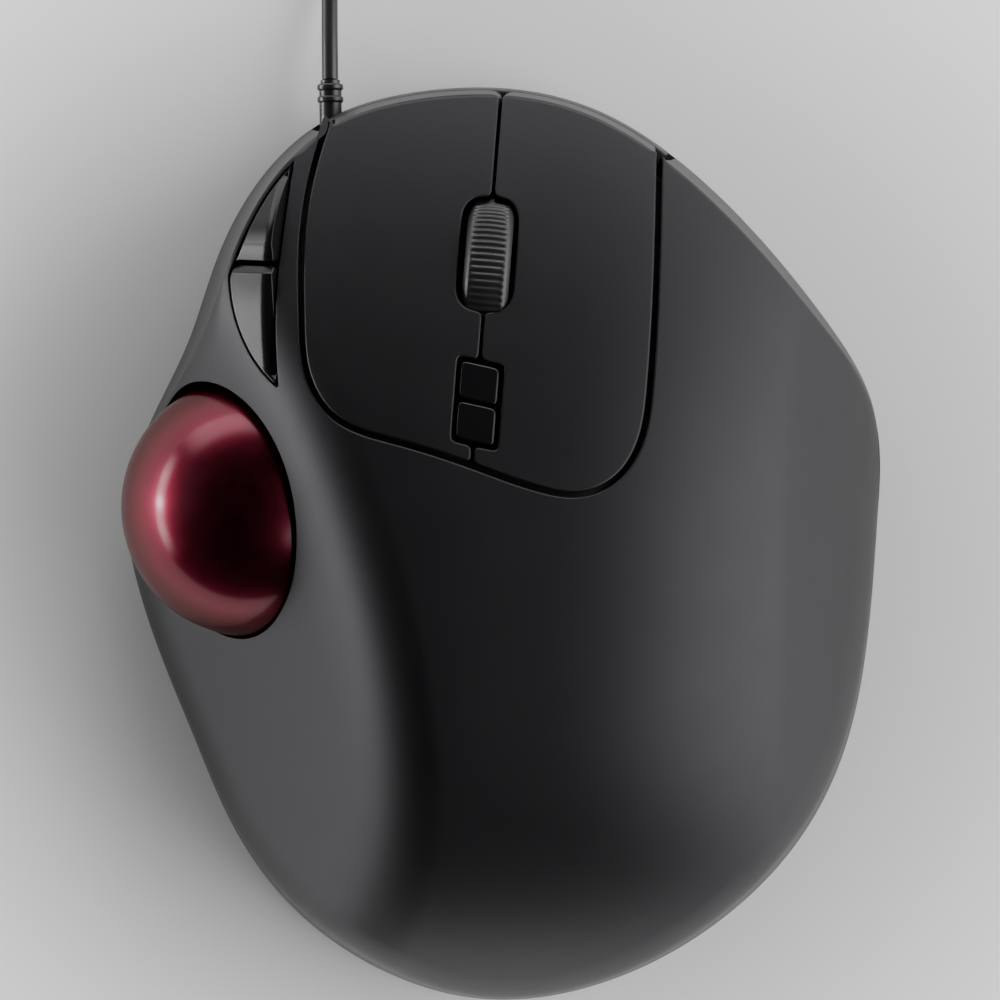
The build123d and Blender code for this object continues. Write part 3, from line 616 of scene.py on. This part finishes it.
def side_rings(loop, height, ease, depth, margin):
    """Rings for an edge whose wall runs along the thumb keys' press."""
    way = SIDE_PRESS / -SIDE_PRESS[2]
    down = np.broadcast_to(way, (len(loop), 3))
    return rim_rings(kept_in(sheared(loop, height), margin), height, ease, down, depth)


def side_loop(outline, rounds=5):
    points = resample(np.vstack([outline, outline[:1]]), 0.2)
    return soften(points, rounds)


def top_shell():
    loop, share = shell_loop()
    pocket_loop = side_loop(crescent(POCKET_GAP))[::-1]
    pocket = side_rings(pocket_loop, crown, 0.2, 2.8, POCKET_MARGIN)
    line = key_line(KEY_GAP / 2)
    gap_line = line[(line[:, 1] < 50) | (line[:, 0] > 0)]
    keep_off = np.vstack([pocket[0][:, :2], gap_line])
    outer = outer_rim(loop, share, SHELL_WALL, PART_Z, BACK_EASE, keep_off)
    piece = panel("shell_skin", crown, [outer, pocket], SHELL_WALL + 0.3, 1.0)
    bevel = BALL + unit(OPENING_WAY) * OPENING_SHIFT
    cut_away(piece, [cutter(BALL, BALL_R + OPENING_GAP), cutter(bevel, BALL_R - OPENING_LESS)])
    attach(piece, "root")
    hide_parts("top_shell")
    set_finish(piece, "soft_touch")
    return piece


def front_sill():
    """The strip of the shell's front wall below the main keys."""
    line = key_line(KEY_GAP / 2)
    wall = edge_between(line[-1][0], line[0][0])
    points = resample(wall, 0.6)
    outward = -left_normals(points, False)
    level = crown(points[:, 0], points[:, 1])
    rows = []
    for z, inset in ((WINDOW_Z, SHELL_WALL), (WINDOW_Z, 0.25), (WINDOW_Z - 0.1, 0.07),
                     (WINDOW_Z - 0.25, 0.0), (10.0, 0.0), (PART_Z, 0.0), (PART_Z, SHELL_WALL)):
        spot = points + outward * (DRAFT * (level - z) - inset)[:, None]
        rows.append(np.column_stack([spot, np.full(len(spot), z)]))
    rows.append(rows[0])
    n = len(points)
    vertices = np.vstack(rows[:-1])
    faces = []
    for k in range(len(rows) - 1):
        a, b = k * n, ((k + 1) % (len(rows) - 1)) * n
        faces += [(a + i, b + i, b + i + 1, a + i + 1) for i in range(n - 1)]
    for i in (0, n - 1):
        cap = [k * n + i for k in range(len(rows) - 1)]
        faces.append(tuple(cap if i else cap[::-1]))
    piece = add_mesh("front_sill", vertices, faces)
    piece.data.set_sharp_from_angle(angle=radians(50))
    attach(piece, "root")
    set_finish(piece, "soft_touch")
    return piece


def clear_of_wheel(vertices):
    """Moves the slot's walls and underside back from the wheel, which has rounded shoulders."""
    across = np.abs(vertices[:, 0] - WHEEL[0])
    free = WHEEL_R + 0.35 - np.maximum(0, across - (WHEEL_SIZE[0] / 2 - 0.85))
    dy, dz = vertices[:, 1] - WHEEL[1], vertices[:, 2] - WHEEL[2]
    reach = np.hypot(dy, dz)
    close = (across < WHEEL_SIZE[0] / 2 + 0.35) & (reach < free)
    grow = np.where(close, free / np.maximum(reach, 1e-6), 1.0)
    moved = vertices.copy()
    moved[:, 1] = WHEEL[1] + dy * grow
    moved[:, 2] = WHEEL[2] + dz * grow
    return moved


def main_key(side):
    """The left (side -1) or right (side 1) main key."""
    line = key_line(-KEY_GAP / 2)
    edge = MID_X + side * SPLIT_GAP / 2
    rear = line[line[:, 1] < 30]
    at = np.argsort(rear[:, 0])
    cut = [edge, np.interp(edge, rear[at, 0], rear[at, 1])]
    wall_y = np.interp(edge, *sorted_front())
    split = [pocket_side(side), slot_side(side)]
    seam = np.vstack([[cut], split[0], split[1], [[edge, wall_y]]])
    if side < 0:
        gap = np.vstack([line[line[:, 0] < edge], [cut]])
        wall = edge_between(edge, line[0][0])
        parts = [(gap, 0), (seam, 0), (wall, 1)]
    else:
        gap = np.vstack([[cut], line[line[:, 0] > edge]])
        wall = edge_between(line[-1][0], edge)
        parts = [(gap, 0), (wall, 1), (seam[::-1], 0)]
    loop, share = close_loop(parts)
    rim = outer_rim(loop, share, KEY_WALL, SKIRT_Z, WALL_EASE)
    name = "left" if side < 0 else "right"
    piece = panel(f"{name}_key_skin", crown, [rim], KEY_WALL + 0.15, 0.8, clear_of_wheel)
    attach(piece, f"{name}_key")
    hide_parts(f"{name}_button")
    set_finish(piece, "key_plastic")
    return piece


# ---------------------------------------------------------------- small keys
def thumb_height(place):
    """A thumb key's face: a main facet, a level facet at its inner edge, a slope at the split."""
    slope = (SIDE_EDGE[0][0] - SIDE_EDGE[1][0]) / (SIDE_EDGE[0][1] - SIDE_EDGE[1][1])
    cx, cy, r = SIDE_ARC

    def surface_x(level_x, y):
        x = level_x
        for _ in range(8):
            x = level_x + (SIDE_LEVEL - crown(x, y)) * SIDE_LEAN
        return x

    rows = np.linspace(SIDE_EDGE[1][1], SIDE_EDGE[0][1], 120)
    half = np.sqrt(np.maximum(0.5, r * r - (rows - cy) ** 2))
    left = surface_x(cx - half, rows)
    ridge = surface_x(SIDE_EDGE[1][0] + (rows - SIDE_EDGE[1][1]) * slope - 1.5, rows)
    left_z = crown(left, rows) + 0.25
    ridge_z = left_z + FACET_SLOPE * np.maximum(0.4, ridge - left)

    def height(x, y):
        rise = np.interp(y, rows, left_z) + FACET_SLOPE * (x - np.interp(y, rows, left))
        level = np.interp(y, rows, ridge_z) + LEVEL_SLOPE * (x - np.interp(y, rows, ridge))
        ahead = (y - SIDE_SPLIT_Y) if place == "forward" else (SIDE_SPLIT_Y - y)
        width, fall = (2.4, 0.30) if place == "forward" else (1.4, 0.95)
        drop = fall * soft_step(width - ahead, 0.06)
        return smooth_min(rise, level, 0.35) - drop

    return height


def thumb_key(place):
    if place == "forward":
        outline = crescent(0.0, low_y=SIDE_SPLIT_Y + THUMB_KEY_GAP)
    else:
        outline = crescent(0.0, high_y=SIDE_SPLIT_Y - THUMB_KEY_GAP)
    height = thumb_height(place)
    rim = side_rings(side_loop(outline, 9), height, 0.18, 3.0, THUMB_KEY_MARGIN)
    piece = panel(f"{place}_thumb_key", height, [rim], 2.2, 0.3)
    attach(piece, f"{place}_key")
    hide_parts(f"{place}_button")
    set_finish(piece, "gloss_black")
    return piece


def dpi_key(place):
    centre = DPI[place][0][:2]
    outline = dpi_outline(centre, DPI_WIDTH, DPI_LENGTH)
    loop = side_loop(outline, 14)

    def height(x, y):
        return crown(x, y) + 0.15 - 0.006 * ((x - centre[0]) ** 2 + (y - centre[1]) ** 2)

    down = np.broadcast_to([0.0, 0.0, -1.0], (len(loop), 3))
    rim = rim_rings(loop, height, 0.38, down, 2.4)
    piece = panel(f"dpi_{place}_cap", height, [rim], 2.0, 0.35)
    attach(piece, f"dpi_{place}_key")
    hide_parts(f"dpi_{place}_button")
    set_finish(piece, "gloss_black")
    return piece


# ---------------------------------------------------------------- wheel and ball
def revolve(name, profile, steps, axis_point, radius_at):
    """Turns a closed (x, radius) profile about the X axis through axis_point."""
    vertices = []
    n = len(profile)
    for i in range(steps):
        turn = 2 * pi * i / steps
        for x, r in profile:
            r = radius_at(x, r, turn)
            vertices.append((axis_point[0] + x, axis_point[1] + r * cos(turn),
                             axis_point[2] + r * sin(turn)))
    faces = []
    for i in range(steps):
        a, b = i * n, ((i + 1) % steps) * n
        faces += [(a + k, a + (k + 1) % n, b + (k + 1) % n, b + k) for k in range(n)]
    return add_mesh(name, vertices, faces)


RIBS = 80


def wheel_tyre():
    half = WHEEL_SIZE[0] / 2
    tread = half - 0.75
    across = np.linspace(-tread, tread, 13)
    profile = [(-half, WHEEL_R - 2.0), (-half, WHEEL_R - 1.25), (-half + 0.12, WHEEL_R - 0.95),
               (-half + 0.45, WHEEL_R - 0.45), (-half + 0.62, WHEEL_R - 0.33)]
    profile += [(x, WHEEL_R - 0.22 * (x / tread) ** 2) for x in across]
    profile += [(-x, r) for x, r in profile[4::-1]]

    def radius_at(x, r, turn):
        inner = max(0.0, 1 - (abs(x) / (tread + 0.02)) ** 8)
        wave = 0.5 + 0.5 * cos(RIBS * turn)
        return r - 0.24 * inner * (1 - wave ** 0.8) if abs(x) <= tread else r

    piece = revolve("ribbed_tyre", profile, RIBS * 8, WHEEL, radius_at)
    piece.data.set_sharp_from_angle(angle=radians(75))
    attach(piece, "wheel")
    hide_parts("scroll_wheel_tyre")
    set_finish(piece, "tyre_rubber")
    return piece


def ball():
    piece = sphere("thumb_ball", BALL, BALL_R, 64, 128)
    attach(piece, "ball")
    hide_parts("trackball")
    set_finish(piece, "ball_red")
    return piece


# ---------------------------------------------------------------- cable
CABLE_D = 2.2
COIL_R, COIL_PITCH, COIL_COLUMNS, COIL_ROWS, COIL_LOW = 13.2, 2.25, 5, 4, 1.25
COIL = np.array([-11.8, 99.5])
PLUG = (-4.0, 120.0, 4.1)
CABLE_START = (-27.533, 60.285, 6.0)
TURN_POINTS = 16
POINT_RADIUS = 0.001                   # small, because a curve's box grows by it


def coil_points():
    """The coil's turns, clockwise from its thumb side: in and out over the rows."""
    outer = COIL_R + COIL_PITCH * (COIL_COLUMNS - 1) / 2
    radii, rows = [], []
    for row in range(COIL_ROWS):
        columns = range(COIL_COLUMNS) if row % 2 == 0 else range(COIL_COLUMNS - 1, -1, -1)
        for column in columns:
            radii.append(outer - COIL_PITCH * column)
            rows.append(COIL_LOW + COIL_PITCH * row)
    points = []
    for i in range(len(radii)):
        nxt = min(i + 1, len(radii) - 1)
        steps = TURN_POINTS if i < len(radii) - 1 else TURN_POINTS // 4
        for k in range(steps):
            share = k / TURN_POINTS
            blend = min(1.0, max(0.0, (share - 0.55) / 0.45))
            blend = blend * blend * (3 - 2 * blend)
            r = radii[i] + (radii[nxt] - radii[i]) * blend
            z = rows[i] + (rows[nxt] - rows[i]) * blend
            turn = pi - 2 * pi * share
            points.append((COIL[0] + r * cos(turn), COIL[1] + r * sin(turn), z))
    return points


def cable_route():
    route = [
        CABLE_START,
        (-27.95, 64.6, 5.2),
        (-28.45, 70.0, 3.3),
        (-28.95, 76.0, 1.6),
        (-29.5, 83.0, 1.15),
        (-29.75, 91.0, 1.15),
    ]
    route += coil_points()
    outer = COIL_R + COIL_PITCH * (COIL_COLUMNS - 1) / 2
    high = COIL_LOW + COIL_PITCH * (COIL_ROWS - 1)
    route += [
        (COIL[0] + 1.0, COIL[1] + outer + 0.3, high - 0.8),
        (COIL[0] + 4.5, COIL[1] + outer + 1.6, high - 2.6),
        (PLUG[0] - 0.5, PLUG[1] - 0.1, PLUG[2] + 0.2),
        (PLUG[0] + 2.0, PLUG[1], PLUG[2]),
    ]
    return route


def cable():
    route = cable_route()
    curve = bpy.data.curves.new("cable_line", "CURVE")
    curve.dimensions = "3D"
    curve.bevel_depth = CABLE_D / 2 * MM / POINT_RADIUS
    curve.bevel_resolution = 5
    curve.resolution_u = 6
    curve.use_fill_caps = True
    line = curve.splines.new("NURBS")
    line.points.add(len(route) - 1)
    for point, (x, y, z) in zip(line.points, route):
        point.co = (x * MM, y * MM, z * MM, 1.0)
        point.radius = POINT_RADIUS
    line.order_u = 3
    line.use_endpoint_u = True
    piece = bpy.data.objects.new("cable_line", curve)
    bpy.context.scene.collection.objects.link(piece)
    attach(piece, "root")
    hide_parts("cable", "cable_coil")
    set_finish(piece, "cable_jacket")
    return piece


# ---------------------------------------------------------------- materials
GRAIN_DEPTH = 0.00002                  # metres
UNEVEN = 0.012                         # how much a moulded surface's roughness varies
PAINT_TINT = (0.94, 0.93, 1.0, 1)


def new_material(name):
    material = bpy.data.materials.new(name)
    material.use_nodes = True
    tree = material.node_tree
    shader = tree.nodes["Principled BSDF"]
    return material, tree, shader


def noise(tree, scale, detail=3.0, roughness=0.5):
    coordinates = tree.nodes.new("ShaderNodeTexCoord")
    texture = tree.nodes.new("ShaderNodeTexNoise")
    texture.inputs["Scale"].default_value = scale
    texture.inputs["Detail"].default_value = detail
    texture.inputs["Roughness"].default_value = roughness
    tree.links.new(coordinates.outputs["Object"], texture.inputs["Vector"])
    return texture.outputs["Fac"]


def spread(tree, value, low, high, from_low=0.3, from_high=0.7):
    remap = tree.nodes.new("ShaderNodeMapRange")
    keys = ("From Min", "From Max", "To Min", "To Max")
    for key, number in zip(keys, (from_low, from_high, low, high)):
        remap.inputs[key].default_value = number
    tree.links.new(value, remap.inputs["Value"])
    return remap.outputs["Result"]


def two_tone(tree, value, dark, light):
    mix = tree.nodes.new("ShaderNodeMix")
    mix.data_type = "RGBA"
    mix.inputs["A"].default_value = (*dark, 1)
    mix.inputs["B"].default_value = (*light, 1)
    tree.links.new(value, mix.inputs["Factor"])
    return mix.outputs["Result"]


def rough_by(tree, shader, scale, low, high):
    tree.links.new(spread(tree, noise(tree, scale), low, high), shader.inputs["Roughness"])


def tint_by(tree, shader, value, dark, light):
    tree.links.new(two_tone(tree, value, dark, light), shader.inputs["Base Color"])


def bump(tree, shader, value, strength, distance=GRAIN_DEPTH):
    node = tree.nodes.new("ShaderNodeBump")
    node.inputs["Strength"].default_value = strength
    node.inputs["Distance"].default_value = distance
    tree.links.new(value, node.inputs["Height"])
    tree.links.new(node.outputs["Normal"], shader.inputs["Normal"])


def moulded(name, dark, light, rough, grain=2500.0, strength=0.08, coat=0.0, specular=0.5):
    """Moulded or painted plastic: slight cloudiness, uneven roughness and a fine grain."""
    material, tree, shader = new_material(name)
    tint_by(tree, shader, noise(tree, 60.0), dark, light)
    rough_by(tree, shader, 180.0, rough - UNEVEN, rough + UNEVEN)
    bump(tree, shader, noise(tree, grain, 2.0), strength)
    shader.inputs["Specular IOR Level"].default_value = specular
    shader.inputs["Coat Weight"].default_value = coat
    return material


def matt_paint(name, dark, light, rough):
    material = moulded(name, dark, light, rough, grain=5200.0, strength=0.10, specular=0.30)
    shader = material.node_tree.nodes["Principled BSDF"]
    shader.inputs["Specular Tint"].default_value = PAINT_TINT
    shader.inputs["Sheen Weight"].default_value = 0.02
    shader.inputs["Sheen Roughness"].default_value = 0.5
    return material


def gloss_black():
    material, tree, shader = new_material("gloss_black")
    tint_by(tree, shader, noise(tree, 90.0), (0.004, 0.004, 0.0045), (0.006, 0.006, 0.0068))
    rough_by(tree, shader, 400.0, 0.13, 0.18)
    shader.inputs["Specular IOR Level"].default_value = 0.17
    bump(tree, shader, noise(tree, 700.0), 0.02)
    return material


def ball_red():
    """Pearl resin: wine-red flakes below a hard clear coat."""
    material, tree, shader = new_material("ball_red")
    flakes = noise(tree, 220.0, 4.0, 0.6)
    tint_by(tree, shader, flakes, (0.074, 0.0060, 0.0145), (0.096, 0.0080, 0.0190))
    rough_by(tree, shader, 600.0, 0.31, 0.37)
    shader.inputs["Metallic"].default_value = 1.0
    shader.inputs["Specular Tint"].default_value = (0.55, 0.16, 0.22, 1)
    shader.inputs["Coat Weight"].default_value = 0.65
    shader.inputs["Coat Roughness"].default_value = 0.13
    shader.inputs["Coat IOR"].default_value = 1.33
    return material


def rubber(name, tone, rough):
    return moulded(name, (tone, tone, tone * 1.05), (tone * 1.35, tone * 1.35, tone * 1.4), rough,
                   grain=3000.0, strength=0.15, specular=0.45)


def metal(name, colour, rough):
    material, tree, shader = new_material(name)
    dark = tuple(c * 0.86 for c in colour)
    tint_by(tree, shader, noise(tree, 300.0), dark, colour)
    rough_by(tree, shader, 900.0, rough - 0.06, rough + 0.06)
    shader.inputs["Metallic"].default_value = 1.0
    bump(tree, shader, noise(tree, 2500.0), 0.05)
    return material


def clear_plastic():
    material, tree, shader = new_material("lens_clear")
    rough_by(tree, shader, 300.0, 0.04, 0.08)
    shader.inputs["Base Color"].default_value = (0.9, 0.93, 0.95, 1)
    shader.inputs["Transmission Weight"].default_value = 1.0
    shader.inputs["IOR"].default_value = 1.49
    return material


def fabric_tie():
    material, tree, shader = new_material("tie_fabric")
    weave = noise(tree, 2600.0, 4.0)
    tint_by(tree, shader, weave, (0.008, 0.008, 0.009), (0.03, 0.03, 0.033))
    shader.inputs["Roughness"].default_value = 0.85
    bump(tree, shader, weave, 0.5, 0.0001)
    return material


MATERIALS = {
    "soft_touch": matt_paint(
        "soft_touch", (0.0026, 0.0026, 0.0032), (0.0034, 0.0034, 0.0041), 0.45),
    "key_plastic": matt_paint(
        "key_paint", (0.0024, 0.0024, 0.0029), (0.0031, 0.0031, 0.0037), 0.44),
    "gloss_black": gloss_black(),
    "ball_red": ball_red(),
    "black_plastic": moulded(
        "black_plastic", (0.010, 0.010, 0.011), (0.014, 0.014, 0.015), 0.48, 2600.0, 0.2),
    "tyre_rubber": rubber("tyre_rubber", 0.010, 0.42),
    "foot_rubber": rubber("foot_rubber", 0.016, 0.6),
    "cable_jacket": moulded(
        "cable_jacket", (0.011, 0.011, 0.012), (0.015, 0.015, 0.016), 0.36, 1800.0, 0.05),
    "grey_plastic": moulded("grey_plastic", (0.08, 0.085, 0.09), (0.10, 0.105, 0.11), 0.4),
    "white_plastic": moulded("white_plastic", (0.62, 0.60, 0.54), (0.70, 0.68, 0.62), 0.35),
    "red_plastic": moulded("red_plastic", (0.30, 0.02, 0.015), (0.38, 0.03, 0.02), 0.35),
    "board_green": moulded(
        "board_green", (0.006, 0.055, 0.022), (0.010, 0.075, 0.03), 0.3, 900.0, 0.2),
    "chip_black": moulded("chip_black", (0.012, 0.012, 0.012), (0.018, 0.018, 0.018), 0.5),
    "lens_clear": clear_plastic(),
    "ceramic_bead": moulded(
        "ceramic_bead", (0.74, 0.72, 0.68), (0.80, 0.78, 0.74), 0.12, strength=0.02),
    "steel": metal("steel", (0.56, 0.56, 0.58), 0.3),
    "nickel": metal("nickel", (0.70, 0.68, 0.65), 0.2),
    "label": moulded("label", (0.42, 0.42, 0.42), (0.5, 0.5, 0.5), 0.35),
    "tie_fabric": fabric_tie(),
}


def dress(obj, slot):
    obj.data.materials.clear()
    obj.data.materials.append(MATERIALS[slot])


def dress_everything(pieces):
    slots = {part["node"]: part["material_slot"] for part in frame["record"]["subparts"]}
    for name, node in NODES.items():
        dress(node, slots[name])
    for piece in pieces:
        dress(piece, piece["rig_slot"])


# ---------------------------------------------------------------- studio
VIEW_TURN = CROWN_TURN                 # the mouse lies turned this much under the camera
VIEW_SPOT = (-0.50, 5.91, 650.0)
FOCAL, SENSOR = 172.85, 36.0
FLOOR_HALF = 6.0
FLOOR_GLOW = 1.3                       # painted light: the floor glows as if lit, brightest away from the mouse
GLOW_START, GLOW_FULL = 0.040, 0.150   # it glows from this far to this far out, in metres; nearer in, the missing glow leaves a painted shade round the mouse


def camera():
    data = bpy.data.cameras.new("camera")
    data.lens = FOCAL
    data.sensor_width = SENSOR
    obj = bpy.data.objects.new("camera", data)
    obj.location = [c * MM for c in VIEW_SPOT]
    obj.rotation_euler = (0, 0, VIEW_TURN)
    data.clip_start = 0.01
    bpy.context.scene.collection.objects.link(obj)
    bpy.context.scene.camera = obj


def floor():
    mesh = bpy.data.meshes.new("floor")
    s = FLOOR_HALF
    mesh.from_pydata([(-s, -s, 0), (s, -s, 0), (s, s, 0), (-s, s, 0)], [], [(0, 1, 2, 3)])
    obj = bpy.data.objects.new("floor", mesh)
    bpy.context.scene.collection.objects.link(obj)
    material, tree, shader = new_material("floor")
    tint_by(tree, shader, noise(tree, 3.0), (0.86, 0.86, 0.86), (0.88, 0.88, 0.88))
    shader.inputs["Roughness"].default_value = 0.8
    # Painted light and shade: the floor's emission rises with distance from the mouse, so the
    # floor glows far out and stays darker near the mouse.
    shader.inputs["Emission Color"].default_value = (1, 1, 1, 1)
    away = tree.nodes.new("ShaderNodeVectorMath")
    away.operation = "LENGTH"
    tree.links.new(tree.nodes.new("ShaderNodeTexCoord").outputs["Object"], away.inputs[0])
    glow = spread(tree, away.outputs["Value"], 0.0, FLOOR_GLOW, GLOW_START, GLOW_FULL)
    glow.node.interpolation_type = "SMOOTHSTEP"
    tree.links.new(glow, shader.inputs["Emission Strength"])
    mesh.materials.append(material)


# Light comes from soft-edged boxes in the world: middle azimuth, half width and edge softness in
# degrees, then middle, half height and softness of the direction's rise (0 at the horizon, 1
# overhead), and strength.
SOFTBOXES = [
    ("finger_side", 1, 36, 28, 0.34, 0.40, 0.18, 5.4),
    ("front", 94, 44, 28, 0.10, 0.24, 0.24, 5.4),
    ("front_edge", 76, 8, 18, 0.02, 0.06, 0.12, 10.0),
    ("thumb_side", 182, 26, 28, 0.05, 0.10, 0.18, 15.0),
    ("thumb_hot_spot", 182, 2, 14, 0.07, 0.03, 0.20, 110.0),
    ("thumb_top", 170, 24, 28, 0.40, 0.26, 0.40, 0.25),
]
SKY_LOW, SKY_HIGH = 0.06, 0.03         # strength of the sky at the horizon and high up
BELOW = 3.0                            # strength added below the horizon


def math(tree, operation, a, b=None, c=None):
    node = tree.nodes.new("ShaderNodeMath")
    node.operation = operation
    for socket, value in zip(node.inputs, (a, b, c)):
        if value is None:
            continue
        if isinstance(value, (int, float)):
            socket.default_value = value
        else:
            tree.links.new(value, socket)
    return node.outputs[0]


def window(tree, value, middle, half, soft):
    """1 within half of the middle, easing to 0 over soft at each side."""
    gap = math(tree, "ABSOLUTE", math(tree, "SUBTRACT", value, middle))
    ramp = tree.nodes.new("ShaderNodeMapRange")
    ramp.interpolation_type = "SMOOTHERSTEP"
    for key, number in (("From Min", half + soft / 2), ("From Max", half - soft / 2)):
        ramp.inputs[key].default_value = number
    tree.links.new(gap, ramp.inputs["Value"])
    return ramp.outputs["Result"]


def studio():
    world = bpy.data.worlds.new("studio")
    world.use_nodes = True
    tree = world.node_tree
    way = tree.nodes.new("ShaderNodeSeparateXYZ")
    tree.links.new(tree.nodes.new("ShaderNodeTexCoord").outputs["Generated"], way.inputs[0])
    x, y, z = way.outputs
    run = math(tree, "SQRT", math(tree, "MULTIPLY_ADD", x, x, math(tree, "MULTIPLY", y, y)))
    run = math(tree, "MAXIMUM", run, 0.0001)
    total = spread(tree, z, SKY_LOW, SKY_HIGH, 0.0, 0.7)
    for name, azimuth, half_width, blur, rise, half_rise, soft, strength in SOFTBOXES:
        a = radians(azimuth)
        along = math(tree, "MULTIPLY_ADD", x, cos(a), math(tree, "MULTIPLY", y, sin(a)))
        cosine = math(tree, "MINIMUM", math(tree, "DIVIDE", along, run), 1.0)
        angle = math(tree, "ARCCOSINE", cosine)
        wide = window(tree, angle, 0.0, radians(half_width), radians(blur))
        tall = window(tree, z, rise, half_rise, soft)
        total = math(tree, "MULTIPLY_ADD", math(tree, "MULTIPLY", wide, tall), strength, total)
    below = math(tree, "LESS_THAN", z, 0.0)
    total = math(tree, "MULTIPLY_ADD", below, BELOW, total)
    tree.nodes["Background"].inputs["Color"].default_value = (1, 1, 1, 1)
    tree.links.new(total, tree.nodes["Background"].inputs["Strength"])
    bpy.context.scene.world = world


camera()
floor()
studio()
pieces = [cable(), top_shell(), front_sill(), main_key(-1), main_key(1)]
pieces += [thumb_key("forward"), thumb_key("back"), dpi_key("front"), dpi_key("rear")]
pieces += [wheel_tyre(), ball()]
dress_everything(pieces)
